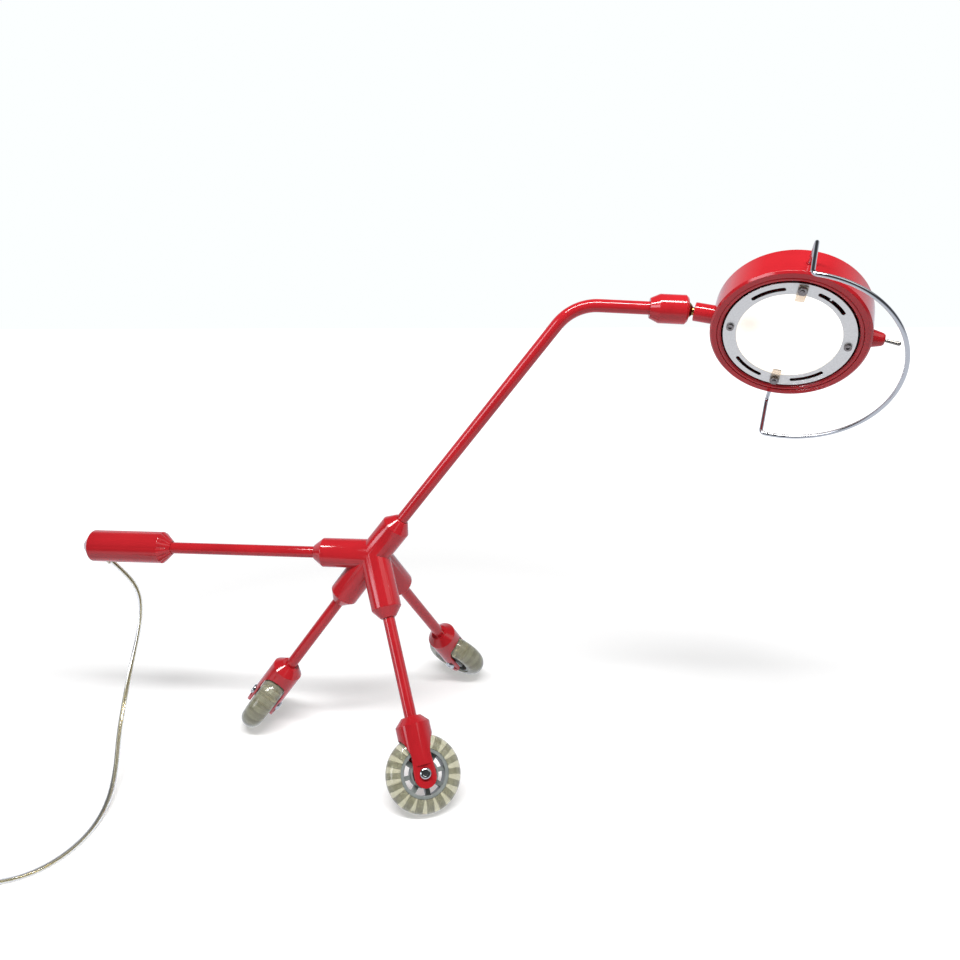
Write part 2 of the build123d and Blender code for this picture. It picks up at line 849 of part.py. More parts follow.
stud_end = ball_to_head - drum_radius
with BuildPart() as ball_stud:
    with BuildSketch(lathe(neck_plane)):
        with BuildLine():
            CenterArc((0, 0), ball_radius, 0, 180)
            Line((-ball_radius, 0), (ball_radius, 0))
        make_face()
    revolve(axis=Axis(neck_plane.origin, neck_plane.z_dir))
    barrel(neck_plane, 0, stud_end, stud_radius)
    barrel(neck_plane, -ball_radius, stud_end, stud_bore, Mode.SUBTRACT)
save(ball_stud, "ball_stud")

with BuildPart() as neck:
    inside_wall = ball_to_head - drum_radius + drum_wall
    turn(
        neck_plane,
        [
            (neck_gap, 0),
            (neck_gap, neck_radius - neck_chamfer),
            (neck_gap + neck_chamfer, neck_radius),
            (stud_end + drum_wall, neck_radius),
            (stud_end + drum_wall, 0),
        ],
    )
    with BuildSketch(head_plane.offset(-drum_back)):
        Circle(drum_radius + socket_clearance)
    extrude(amount=drum_back + drum_front, mode=Mode.SUBTRACT)
    neck_end = inside_wall + neck_nut_length
    barrel(neck_plane, neck_gap + neck_spigot_inset, neck_end, neck_spigot)
    barrel(neck_plane, neck_gap, neck_end, stud_radius + running_clearance, Mode.SUBTRACT)
save(neck, "neck")

with BuildPart() as neck_nut:
    wall_inside = drum_radius - drum_wall
    nut_rise = wall_inside - sqrt(wall_inside**2 - neck_nut_radius**2)
    nut_start = inside_wall + nut_rise + thread_clearance
    with BuildSketch(neck_plane.offset(nut_start)):
        RegularPolygon(radius=neck_nut_radius, side_count=6)
        Circle(neck_spigot + socket_clearance, mode=Mode.SUBTRACT)
    extrude(amount=neck_nut_length)
save(neck_nut, "neck_nut")


# Drum

with BuildPart() as drum_shell:
    step_height = drum_front - rim_step
    with BuildSketch(lathe(head_plane)):
        with BuildLine():
            Polyline(
                (-drum_back, 0),
                (-drum_back, drum_radius - drum_edge),
                (-drum_back + drum_edge, drum_radius),
                (drum_front - drum_edge, drum_radius),
                (drum_front, drum_radius - drum_edge),
                (drum_front, lip_inner),
                (step_height, lip_inner),
            )
            ThreePointArc(
                (step_height, lip_inner),
                (step_height + bead_height, lip_inner - bead_width / 2),
                (step_height, bead_inner),
            )
            Polyline(
                (step_height, bead_inner),
                (step_height, rim_mouth),
                (drum_front - rim_depth, rim_mouth),
                (drum_front - rim_depth - drum_wall, inner_radius),
                (-drum_back + drum_wall, inner_radius),
                (-drum_back + drum_wall, 0),
                (-drum_back, 0),
            )
        make_face()
    revolve(axis=Axis(head_plane.origin, head_plane.z_dir))
    fittings = [
        (switch_angle, switch_barrel + socket_clearance),
        (180, neck_spigot + socket_clearance),
        (90, hoop_bush_radius + socket_clearance),
        (-90, hoop_bush_radius + socket_clearance),
    ]
    for angle, hole in fittings:
        barrel(head_spoke(angle), inner_radius - cut_over, drum_radius + cut_over, hole, Mode.SUBTRACT)
save(drum_shell, "drum_shell")

ring_front = drum_front - ring_recess
ring_back = ring_front - ring_thickness
glass_back = ring_back - glass_thickness
flange_back = ring_back - reflector_wall


def ring_openings():
    """Arc slots and screw holes that the ring and the reflector's flange share."""
    for angle in slot_angles:
        slot_line = CenterArc((0, 0), slot_circle, angle - slot_span / 2, slot_span, mode=Mode.PRIVATE)
        SlotArc(slot_line, slot_width, mode=Mode.SUBTRACT)
    with PolarLocations(ring_screw_circle, 4):
        Circle(ring_screw_radius + screw_clearance, mode=Mode.SUBTRACT)


with BuildPart() as vent_ring:
    with BuildSketch(head_plane.offset(ring_back)):
        Circle(ring_outer)
        Circle(ring_inner, mode=Mode.SUBTRACT)
        ring_openings()
        with Locations(
            (
                (slot_circle + slot_width / 2) * cos(radians(tab_angle)),
                (slot_circle + slot_width / 2) * sin(radians(tab_angle)),
            )
        ):
            Rectangle(tab_size, tab_size, rotation=tab_angle)
    extrude(amount=ring_thickness)
save(vent_ring, "vent_ring")

with BuildPart() as glass_disc:
    with BuildSketch(head_plane.offset(glass_back)):
        Circle(glass_radius)
    extrude(amount=glass_thickness - glass_gap)
    fillet(glass_disc.edges(), glass_edge)
save(glass_disc, "glass_disc")

# Spun aluminium reflector with a flange under the ring and a ledge for the glass
with BuildPart() as reflector:
    ledge = glass_back - glass_gap
    cup = glass_radius + glass_side_gap
    flange_radius = ring_outer - flange_gap
    with BuildSketch(lathe(head_plane)):
        with BuildLine():
            Polyline(
                (ring_back, flange_radius),
                (ring_back, cup),
                (ledge, cup),
                (ledge, glass_radius - reflector_ledge),
                (-reflector_floor, reflector_floor_radius),
                (-reflector_floor, 0),
                (-reflector_floor - reflector_wall, 0),
                (-reflector_floor - reflector_wall, reflector_floor_radius + reflector_wall),
                (ledge - reflector_wall, glass_radius - reflector_ledge + reflector_wall / 2),
                (ledge - reflector_wall, cup + reflector_wall),
                (flange_back, cup + reflector_wall),
                (flange_back, flange_radius),
                close=True,
            )
        make_face()
    revolve(axis=Axis(head_plane.origin, head_plane.z_dir))
    with BuildSketch(head_plane.offset(flange_back)) as flange:
        Circle(flange_radius)
        Circle(cup + reflector_wall, mode=Mode.SUBTRACT)
        ring_openings()
    with BuildSketch(head_plane.offset(flange_back)):
        Circle(flange_radius)
        Circle(cup + reflector_wall, mode=Mode.SUBTRACT)
        add(flange.sketch, mode=Mode.SUBTRACT)
    extrude(amount=reflector_wall, mode=Mode.SUBTRACT)
save(reflector, "reflector")

with BuildPart() as drum_pillars:
    for angle in (0, 180):
        post = head_post(ring_screw_circle, angle)
        barrel(post, -drum_back + drum_wall, flange_back, pillar_radius)
        barrel(post, flange_back - ring_screw_length, flange_back, ring_screw_radius, Mode.SUBTRACT)
save(drum_pillars, "drum_pillars")

# Ring screws: two go down into the pillars, two come up from behind and take nuts
with BuildPart() as ring_screws:
    for angle in (0, 180):
        post = head_post(ring_screw_circle, angle)
        barrel(post, ring_front, ring_front + ring_head_height, ring_head_radius)
        barrel(post, ring_front - ring_screw_length, ring_front, ring_screw_radius - thread_clearance)
        with BuildSketch(post.offset(ring_front + ring_head_height - ring_key_depth)):
            RegularPolygon(radius=ring_key, side_count=6)
        extrude(amount=ring_head_height, mode=Mode.SUBTRACT)
    for angle in (90, -90):
        post = head_post(ring_screw_circle, angle)
        top = ring_front + clip_thickness + ring_nut_height + ring_screw_proud
        barrel(post, flange_back - ring_head_height, flange_back, ring_head_radius)
        barrel(post, flange_back, top, ring_screw_radius)
save(ring_screws, "ring_screws")

with BuildPart() as ring_nuts:
    for angle in (90, -90):
        post = head_post(ring_screw_circle, angle)
        with BuildSketch(post.offset(ring_front + clip_thickness)):
            RegularPolygon(radius=ring_nut_radius, side_count=6)
            Circle(ring_screw_radius + socket_clearance, mode=Mode.SUBTRACT)
        extrude(amount=ring_nut_height)
save(ring_nuts, "ring_nuts")

with BuildPart() as glass_clips:
    with BuildSketch(head_plane.offset(ring_front)):
        for side in (-1, 1):
            clip_middle = ring_screw_circle + (clip_outer - clip_reach) / 2
            with Locations((0, side * clip_middle)):
                RectangleRounded(clip_width, clip_reach + clip_outer, clip_corner)
            with Locations((0, side * ring_screw_circle)):
                Circle(ring_screw_radius + socket_clearance, mode=Mode.SUBTRACT)
    extrude(amount=clip_thickness)
save(glass_clips, "glass_clips")

# Halogen capsule lying across the reflector, in a ceramic holder on the neck's side
pin_origin = head_point(holder_face, 0, bulb_center_height)
pin_plane = Plane(origin=pin_origin, x_dir=head_plane.y_dir, z_dir=neck_axis * -1)
bulb_plane = Plane(origin=pin_origin, x_dir=head_plane.y_dir, z_dir=neck_axis)
with BuildPart() as lamp_holder:
    with BuildSketch(head_plane.offset(-reflector_floor)):
        with Locations((holder_face - holder_length / 2, 0)):
            RectangleRounded(holder_length, holder_width, holder_corner)
    extrude(amount=holder_height)
    with BuildSketch(pin_plane):
        with GridLocations(bulb_pin_spread * 2, 0, 2, 1):
            Circle(bulb_pin_radius + socket_clearance)
    extrude(amount=bulb_pin_length, mode=Mode.SUBTRACT)
save(lamp_holder, "lamp_holder")

with BuildPart() as bulb:
    neck_end_height = bulb_press - bulb_foot_gap
    shoulder = neck_end_height + bulb_shoulder
    tip = bulb_length
    with BuildSketch(lathe(bulb_plane)):
        with BuildLine():
            Line((neck_end_height, 0), (neck_end_height, bulb_press_depth / 2))
            Line((neck_end_height, bulb_press_depth / 2), (shoulder, bulb_radius))
            Line((shoulder, bulb_radius), (tip - bulb_radius, bulb_radius))
            cap_arc(tip - bulb_radius, bulb_radius, bulb_radius)
            Line((tip, 0), (neck_end_height, 0))
        make_face()
    revolve(axis=Axis(bulb_plane.origin, bulb_plane.z_dir))
    with BuildSketch(bulb_plane.offset(bulb_foot_gap)):
        Rectangle(bulb_press_width, bulb_press_depth)
    extrude(amount=bulb_press)
    with BuildSketch(bulb_plane.offset(bulb_foot_gap + bulb_pin_radius)):
        with GridLocations(bulb_pin_spread * 2, 0, 2, 1):
            Circle(bulb_pin_radius)
    extrude(amount=-bulb_pin_length)
save(bulb, "bulb")


# Switch on the far side of the drum from the neck

switch_plane = head_spoke(switch_angle)
boss_tip = drum_radius + boss_height
with BuildPart() as switch_boss:
    turn(
        switch_plane,
        [
            (drum_radius - drum_wall, 0),
            (drum_radius - drum_wall, boss_radius),
            (boss_tip - boss_nose, boss_neck_radius),
            (boss_tip, boss_tip_radius),
            (boss_tip, 0),
        ],
    )
    with BuildSketch(head_plane.offset(-drum_back)):
        Circle(drum_radius + socket_clearance)
    extrude(amount=drum_back + drum_front, mode=Mode.SUBTRACT)
    boss_start = drum_radius - drum_wall
    barrel(switch_plane, boss_start, boss_tip, switch_barrel + socket_clearance, Mode.SUBTRACT)
save(switch_boss, "switch_boss")

with BuildPart() as toggle_switch:
    case_face = sqrt(inner_radius**2 - (switch_width / 2) ** 2) - socket_clearance
    with BuildSketch(switch_plane.offset(case_face - switch_depth)):
        Rectangle(switch_height, switch_width)
    extrude(amount=switch_depth)
    barrel(switch_plane, case_face, boss_tip - boss_sunk, switch_barrel)
    with BuildSketch(switch_plane.offset(case_face - switch_depth - terminal_length)):
        with GridLocations(0, terminal_spread * 2, 1, 2):
            Rectangle(terminal_width, terminal_thickness)
    extrude(amount=terminal_length)
    with BuildSketch(lathe(switch_plane)):
        with BuildLine():
            CenterArc((lever_pivot, 0), lever_ball + running_clearance, 0, 180)
            Line(
                (lever_pivot - lever_ball - running_clearance, 0),
                (lever_pivot + lever_ball + running_clearance, 0),
            )
        make_face()
    revolve(axis=Axis(switch_plane.origin, switch_plane.z_dir), mode=Mode.SUBTRACT)
    turn(
        switch_plane,
        [
            (lever_pivot, 0),
            (boss_tip, 0),
            (boss_tip, switch_barrel - switch_mouth_wall),
            (lever_pivot, switch_throat),
        ],
        Mode.SUBTRACT,
    )
save(toggle_switch, "toggle_switch")

lever_hinge = head_plane.z_dir.cross(switch_plane.z_dir)
lever_axis = switch_plane.z_dir.rotate(Axis((0, 0, 0), lever_hinge), -lever_tilt)
lever_origin = head_center + switch_plane.z_dir * lever_pivot
lever_plane = Plane(origin=lever_origin, x_dir=lever_hinge, z_dir=lever_axis)
with BuildPart() as toggle_lever:
    with BuildSketch(lathe(lever_plane)):
        with BuildLine():
            CenterArc((0, 0), lever_ball, 0, 180)
            Line((-lever_ball, 0), (lever_ball, 0))
        make_face()
    revolve(axis=Axis(lever_plane.origin, lever_plane.z_dir))
    with BuildSketch(lathe(lever_plane)):
        with BuildLine():
            Line((0, 0), (0, lever_radius))
            Line((0, lever_radius), (lever_length - lever_tip_radius, lever_tip_radius))
            cap_arc(lever_length - lever_tip_radius, lever_tip_radius, lever_tip_radius)
            Line((lever_length, 0), (0, 0))
        make_face()
    revolve(axis=Axis(lever_plane.origin, lever_plane.z_dir))
save(toggle_lever, "toggle_lever")


# Wire handle, hinged in two bushes in the drum's wall

with BuildPart() as hoop_bushes:
    for angle in (90, -90):
        bush_plane = head_spoke(angle)
        bush_start = drum_radius - hoop_bush_length
        bush_end = drum_radius + hoop_bush_proud
        barrel(bush_plane, bush_start, bush_end, hoop_bush_radius)
        barrel(bush_plane, bush_start, bush_end, wire_radius + running_clearance, Mode.SUBTRACT)
save(hoop_bushes, "hoop_bushes")

with BuildPart() as wire_hoop:
    soft = hoop_bend * (1 - sin(radians(45)))
    apex = hoop_bend + hoop_span
    with BuildLine(head_plane) as hoop_route:
        Line((0, -hoop_inner_end, 0), (0, -hoop_span + hoop_bend, 0))
        ThreePointArc(
            (0, -hoop_span + hoop_bend, 0), (0, -hoop_span + soft, soft), (0, -hoop_span, hoop_bend)
        )
        Line((0, -hoop_span, hoop_bend), (0, -hoop_span, hoop_reach - hoop_bend))
        ThreePointArc(
            (0, -hoop_span, hoop_reach - hoop_bend),
            (soft, -hoop_span, hoop_reach - soft),
            (hoop_bend, -hoop_span, hoop_reach),
        )
        ThreePointArc(
            (hoop_bend, -hoop_span, hoop_reach),
            (apex, 0, hoop_reach),
            (hoop_bend, hoop_span, hoop_reach),
        )
        ThreePointArc(
            (hoop_bend, hoop_span, hoop_reach),
            (soft, hoop_span, hoop_reach - soft),
            (0, hoop_span, hoop_reach - hoop_bend),
        )
        Line((0, hoop_span, hoop_reach - hoop_bend), (0, hoop_span, hoop_bend))
        ThreePointArc((0, hoop_span, hoop_bend), (0, hoop_span - soft, soft), (0, hoop_span - hoop_bend, 0))
        Line((0, hoop_span - hoop_bend, 0), (0, hoop_inner_end, 0))
    with BuildSketch(Plane(origin=hoop_route.line @ 0, z_dir=hoop_route.line % 0)):
        Circle(wire_radius)
    sweep()
save(wire_hoop, "wire_hoop")


# Supply cord: out of the counterweight, down to the floor, then a tied coil and a plug

cord_radius = cord_diameter / 2
cord_start = exit_point + exit_axis * bush_outside
coil_x, coil_y = coil_center
coil_height = coil_lift + cord_radius
cord_points = [
    cord_start,
    cord_start + exit_axis * cord_exit_run,
    Vector(-223.0, 0.0, 134.0),
    Vector(-219.0, -3.0, 116.2),
    Vector(-220.0, -12.0, 94.6),
    Vector(-222.5, -26.0, 70.0),
    Vector(-221.5, -44.0, 47.5),
    Vector(-215.0, -70.0, 28.0),
    Vector(-203.0, -98.0, 14.5),
    Vector(-194.0, -125.0, 6.5),
    Vector(-191.5, -150.0, 2.4),
    Vector(-195.0, -176.0, 2.3),
    Vector(-207.0, -197.0, 2.3),
    Vector(-228.0, -208.5, 2.3),
    Vector(-252.0, -211.6, 2.5),
    Vector(coil_x + cord_lead_in, coil_y - coil_turn_radius, coil_height),
    Vector(coil_x, coil_y - coil_turn_radius, coil_height),
]


def bend_radii(points):
    """Radius of each corner: 0.45 of its shorter run over the tangent of half its turn."""
    radii = []
    for before, here, after in zip(points, points[1:], points[2:]):
        run_in = here - before
        run_out = after - here
        half_turn = radians(run_in.get_angle(run_out)) / 2
        radii.append(0.45 * min(run_in.length, run_out.length) / tan(half_turn))
    return radii


def cord_tube(points):
    """Path of straight runs joined by tangent arcs, through the current builder."""
    return FilletPolyline(*points, radius=bend_radii(points))


with BuildPart() as cord_lead:
    with BuildLine() as lead_route:
        cord_tube(cord_points)
    with BuildSketch(Plane(origin=lead_route.line @ 0, z_dir=lead_route.line % 0)):
        Circle(cord_radius)
    sweep()
save(cord_lead, "cord_lead")

# The coil: half turns across one line, spiralling in and out and climbing where they reverse
cord_pitch = cord_diameter + cord_gap
half_step = cord_pitch / 2
coil_radii = [coil_turn_radius]
coil_heights = [coil_height]
for layer in range(coil_layers):
    inward = -1 if layer % 2 == 0 else 1
    for half in range(coil_layer_halves):
        widen = 2 if layer > 0 and half == 0 else 1
        coil_radii.append(coil_radii[-1] + inward * half_step * widen)
        coil_heights.append(coil_heights[-1])
    if layer < coil_layers - 1:
        coil_radii.append(coil_radii[-1] + inward * half_step)
        coil_heights.append(coil_heights[-1] + cord_pitch)

coil_points = []
for index, (radius, height) in enumerate(zip(coil_radii, coil_heights)):
    near = -1 if index % 2 == 0 else 1
    coil_points.append(Vector(coil_x, coil_y + near * radius, height))

with BuildPart() as cord_coil:
    with BuildLine() as coil_route:
        for index, (start, end) in enumerate(zip(coil_points, coil_points[1:])):
            sideways = -1 if index % 2 == 0 else 1
            middle = (start + end) * 0.5 + Vector(sideways * (end - start).length / 2, 0, 0)
            ThreePointArc(start, middle, end)
    with BuildSketch(Plane(origin=coil_route.line @ 0, z_dir=coil_route.line % 0)):
        Circle(cord_radius)
    sweep()
save(cord_coil, "cord_coil")

coil_top = coil_heights[-1] + cord_radius
plug_rest = coil_top + tie_thickness + plug_height / 2 + plug_gap
plug_entry = Vector(coil_x, coil_y - plug_side, plug_rest)
plug_center = plug_entry - Vector(plug_length / 2, 0, 0)
end_points = [
    coil_points[-1],
    coil_points[-1] + Vector(cord_end_run, 0, 0),
    Vector(-267.6, -162.6, 20.6),
    Vector(-267.8, -180.6, 24.0),
    plug_entry + Vector(cord_end_run, 0, 0),
    plug_entry,
]
with BuildPart() as cord_end:
    with BuildLine() as end_route:
        cord_tube(end_points)
    with BuildSketch(Plane(origin=end_route.line @ 0, z_dir=end_route.line % 0)):
        Circle(cord_radius)
    sweep()
save(cord_end, "cord_end")

# Tie round the coil's turns on the side away from the lamp
with BuildPart() as cord_tie:
    bundle_in = min(coil_radii) - cord_radius - tie_side_gap
    bundle_out = max(coil_radii) + cord_radius + tie_side_gap
    bundle_middle = coil_x - (bundle_in + bundle_out) / 2
    tie_top = coil_top + tie_top_gap + tie_thickness
    bundle_plane = Plane(
        origin=(bundle_middle, coil_y - tie_width / 2, tie_top / 2),
        x_dir=(1, 0, 0),
        z_dir=(0, 1, 0),
    )
    inner_width = bundle_out - bundle_in
    with BuildSketch(bundle_plane):
        RectangleRounded(inner_width + 2 * tie_thickness, tie_top, tie_round + tie_thickness)
        RectangleRounded(inner_width, tie_top - 2 * tie_thickness, tie_round, mode=Mode.SUBTRACT)
    extrude(amount=tie_width)
save(cord_tie, "cord_tie")

plug_plane = Plane(origin=plug_center, x_dir=(0, 1, 0), z_dir=(-1, 0, 0))
with BuildPart() as plug_body:
    with BuildSketch(plug_plane.offset(plug_length / 2)):
        RectangleRounded(plug_width, plug_height, plug_corner)
    with BuildSketch(plug_plane.offset(0)):
        RectangleRounded(plug_waist_width, plug_height, plug_corner)
    with BuildSketch(plug_plane.offset(-plug_length / 2)):
        RectangleRounded(plug_tail_width, plug_tail_height, plug_tail_corner)
    loft()
save(plug_body, "plug_body")

with BuildPart() as plug_pins:
    with BuildSketch(plug_plane.offset(plug_length / 2)):
        with GridLocations(plug_pin_spacing, 0, 2, 1):
            Circle(plug_pin_radius)
    extrude(amount=plug_pin_length)
    fillet(plug_pins.faces().sort_by(Axis(plug_center, (-1, 0, 0)))[-2:].edges(), plug_pin_round)
save(plug_pins, "plug_pins")


# What the cord comes to

def route_samples(route, step):
    """Points along a route at about the given spacing."""
    count = ceil(route.length / step)
    return [route @ (index / count) for index in range(count + 1)]


sample_step = cord_diameter / 2
samples = route_samples(coil_route.wire(), sample_step)
skip = ceil(pi * cord_diameter / sample_step)
least = min(
    (samples[i] - samples[j]).length for i in range(len(samples)) for j in range(i + skip, len(samples))
)
lead_radii = bend_radii(cord_points)
end_radii = bend_radii(end_points)
print("hub height", round(hub_height, 2))
print("lead radii", [round(radius, 1) for radius in lead_radii])
print("end radii", [round(radius, 1) for radius in end_radii])
print("coil least gap", round(least - cord_diameter, 2))
lengths = [route.wire().length for route in (lead_route, coil_route, end_route)]
print("cord lengths", [round(length, 1) for length in lengths], "total", round(sum(lengths), 1))
for piece, length in zip((cord_lead, cord_coil, cord_end), lengths):
    print(piece.part.label, "volume", round(piece.part.volume), "of", round(pi * cord_radius**2 * length))
print("ball", ball_center, "end axis", end_axis, "neck axis", neck_axis)
print("head", head_center, "light axis", light_axis, "hinge axis", head_plane.y_dir)
print("lever pivot", lever_plane.origin)
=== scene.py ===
import json
from math import asin, cos, pi, radians, sin, tan, tau

import bmesh
import bpy
from mathutils import Matrix, Vector
from mathutils.geometry import interpolate_bezier


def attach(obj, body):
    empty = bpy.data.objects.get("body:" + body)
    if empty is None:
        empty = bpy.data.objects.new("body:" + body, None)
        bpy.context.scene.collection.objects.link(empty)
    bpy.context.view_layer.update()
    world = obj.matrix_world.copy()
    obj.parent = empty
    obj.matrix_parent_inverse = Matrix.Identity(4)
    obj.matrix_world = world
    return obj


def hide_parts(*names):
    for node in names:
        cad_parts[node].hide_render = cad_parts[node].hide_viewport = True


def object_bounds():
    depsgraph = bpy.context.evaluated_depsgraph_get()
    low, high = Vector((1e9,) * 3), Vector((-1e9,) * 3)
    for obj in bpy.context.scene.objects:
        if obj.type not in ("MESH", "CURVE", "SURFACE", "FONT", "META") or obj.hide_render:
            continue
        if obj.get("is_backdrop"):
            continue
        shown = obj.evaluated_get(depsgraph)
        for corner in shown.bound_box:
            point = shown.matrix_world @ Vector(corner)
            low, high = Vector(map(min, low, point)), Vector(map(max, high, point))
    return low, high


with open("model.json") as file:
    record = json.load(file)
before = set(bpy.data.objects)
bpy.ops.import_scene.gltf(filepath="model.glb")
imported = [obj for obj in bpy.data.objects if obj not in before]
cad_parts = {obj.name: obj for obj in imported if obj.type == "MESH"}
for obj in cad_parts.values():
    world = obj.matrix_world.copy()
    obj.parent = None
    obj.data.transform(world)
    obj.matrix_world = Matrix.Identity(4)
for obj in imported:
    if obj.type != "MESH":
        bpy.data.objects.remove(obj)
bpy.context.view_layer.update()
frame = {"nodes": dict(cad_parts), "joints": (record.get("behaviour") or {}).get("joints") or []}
joints = {joint["name"]: joint for joint in frame["joints"]}


# Camera: a wide lens 61 cm from the lamp's head and 67 cm from its hub, level with the top of
# the head and looking down. It is turned slightly left and leans by less than a degree.

camera_data = bpy.data.cameras.new("camera")
camera_data.sensor_width = 36.0
camera_data.lens = 28.783
camera = bpy.data.objects.new("camera", camera_data)
bpy.context.scene.collection.objects.link(camera)
camera_place = Vector((0.16098, -0.60504, 0.41948))
camera_heading = radians(6.441)
camera_dip = radians(16.332)
camera_roll = radians(-0.736)
camera.matrix_world = (
    Matrix.Translation(camera_place)
    @ Matrix.Rotation(camera_heading, 4, "Z")
    @ Matrix.Rotation(pi / 2 - camera_dip, 4, "X")
    @ Matrix.Rotation(camera_roll, 4, "Z")
)
bpy.context.scene.camera = camera
bpy.context.scene.view_settings.view_transform = "Standard"


# Supply flex: clear PVC twin flex, extruded round two bundles of tinned copper strands.
# It leaves the counterweight, drops to the floor and ends in a tied coil with its plug on top.

def linear(code):
    """Linear colour of an sRGB hex code."""
    channels = [int(code[start:start + 2], 16) / 255 for start in (1, 3, 5)]
    return [c / 12.92 if c <= 0.04045 else ((c + 0.055) / 1.055) ** 2.4 for c in channels] + [1.0]


def add(tree, kind, values=(), links=(), **settings):
    """Add a node with its settings, its input values and the sockets that feed it."""
    node = tree.nodes.new(kind)
    for name, value in settings.items():
        setattr(node, name, value)
    for name, value in dict(values).items():
        node.inputs[name].default_value = value
    for name, source in dict(links).items():
        tree.links.new(source, node.inputs[name])
    return node


def begin(name, code, values):
    """Start a material: its colour and constants, and the piece's own coordinates."""
    material = bpy.data.materials.new(name)
    material.use_nodes = True
    tree = material.node_tree
    shader = tree.nodes["Principled BSDF"]
    shader.inputs["Base Color"].default_value = linear(code)
    for socket, value in values.items():
        shader.inputs[socket].default_value = value
    place = add(tree, "ShaderNodeTexCoord").outputs["Object"]
    return material, tree, shader, place


mm = 0.001

# Most of a noise's values lie between these two.
noise_low = 0.3
noise_high = 0.7


def finish(name, code, constants, clouds=None, gloss=None, relief=None):
    """Material whose colour, gloss and surface vary with noise of a real grain size.

    Each pattern is its grain size in millimetres and two values: colours for the clouds,
    roughnesses for the gloss, and a depth in millimetres and a strength for the relief. The
    noise's own detail and roughness may follow.
    """
    material, tree, shader, place = begin(name, code, constants)
    for socket, pattern in (("Base Color", clouds), ("Roughness", gloss), ("Normal", relief)):
        if pattern is None:
            continue
        size, first, second, *texture = pattern
        detail, rough = texture or (2.0, 0.5)
        values = {"Scale": 1 / (size * mm), "Detail": detail, "Roughness": rough}
        grain = add(tree, "ShaderNodeTexNoise", values, {"Vector": place}).outputs["Fac"]
        if socket == "Base Color":
            node = add(tree, "ShaderNodeValToRGB", (), {"Fac": grain})
            stops = node.color_ramp.elements
            for index, spot, colour in ((0, noise_low, first), (1, noise_high, second)):
                stops[index].position = spot
                stops[index].color = linear(colour)
        elif socket == "Roughness":
            values = {"From Min": noise_low, "From Max": noise_high, "To Min": first, "To Max": second}
            node = add(tree, "ShaderNodeMapRange", values, {"Value": grain})
        else:
            values = {"Distance": first * mm, "Strength": second}
            node = add(tree, "ShaderNodeBump", values, {"Height": grain})
        tree.links.new(node.outputs[0], shader.inputs[socket])
    return material


flex_width = 4.4
flex_lobe = 1.4
flex_core = 0.55

# Clear plasticised PVC, extruded: a faint straw tint, a soft gloss and a slightly wavy skin.
clear_pvc = finish(
    "clear_pvc_extruded",
    "#DDD8BE",
    {"Roughness": 0.08, "IOR": 1.53, "Transmission Weight": 0.9},
    clouds=(9.0, "#D2CCB0", "#E4DFC8"),
    relief=(8.0, 0.04, 0.4),
)

# Tinned copper, bunched from fine strands: grey-gold and rippled. The ripple is drawn coarser
# than the strands, so that it shows.
tinned_copper = finish(
    "tinned_copper_strands",
    "#857A5E",
    {"Metallic": 1.0, "Roughness": 0.34},
    clouds=(0.8, "#6F654A", "#978B6C"),
    relief=(0.6, 0.05, 1.0),
)

# The route: each point in metres, with the flat flex's tilt there in degrees. On the floor it
# lies a little lower than a round flex would.
flex_route = [
    ((-0.243151, 0.0, 0.157892), 90),
    ((-0.232403, 0.0, 0.147144), 90),
    ((-0.223, 0.0, 0.134), 80),
    ((-0.219, -0.003, 0.1162), 55),
    ((-0.220, -0.012, 0.0946), 25),
    ((-0.2225, -0.026, 0.070), 8),
    ((-0.2215, -0.044, 0.0475), 0),
    ((-0.215, -0.070, 0.028), 0),
    ((-0.203, -0.098, 0.0145), 0),
    ((-0.194, -0.125, 0.0065), 0),
    ((-0.1915, -0.150, 0.0018), 0),
    ((-0.195, -0.176, 0.0016), 0),
    ((-0.207, -0.197, 0.0016), 0),
    ((-0.228, -0.2085, 0.0017), 15),
    ((-0.252, -0.2116, 0.0022), 45),
    ((-0.276, -0.212, 0.0029), 80),
]

coil_center = Vector((-0.298, -0.181))
coil_layers = 4
coil_halves = 4
turn_pitch = 0.0049
coil_reach = [0.031]
coil_rise = [0.0031]
for layer in range(coil_layers):
    inward = -1 if layer % 2 == 0 else 1
    for half in range(coil_halves):
        widen = 2 if layer > 0 and half == 0 else 1
        coil_reach.append(coil_reach[-1] + inward * widen * turn_pitch / 2)
        coil_rise.append(coil_rise[-1])
    if layer < coil_layers - 1:
        coil_reach.append(coil_reach[-1] + inward * turn_pitch / 2)
        coil_rise.append(coil_rise[-1] + turn_pitch)

# A half turn has six control points, which stand outside the turn that they draw.
points_a_half = 6
half_step = pi / points_a_half
for index in range(len(coil_reach) - 1):
    near = -1 if index % 2 == 0 else 1
    middle = coil_center.y + near * (coil_reach[index] - coil_reach[index + 1]) / 2
    radius = (coil_reach[index] + coil_reach[index + 1]) / 2 / cos(half_step / 2)
    for step in range(points_a_half):
        share = (step + 0.5) / points_a_half
        angle = -pi / 2 - pi * (index + share)
        height = coil_rise[index] + (coil_rise[index + 1] - coil_rise[index]) * share
        spot = (coil_center.x + radius * cos(angle), middle + radius * sin(angle), height)
        flex_route.append((spot, 90))
flex_route += [
    ((-0.2802, -0.150, 0.0178), 70),
    ((-0.2676, -0.1626, 0.0206), 45),
    ((-0.2678, -0.1806, 0.0240), 20),
    ((-0.2802, -0.193, 0.0281), 0),
    ((-0.298, -0.193, 0.0281), 0),
]


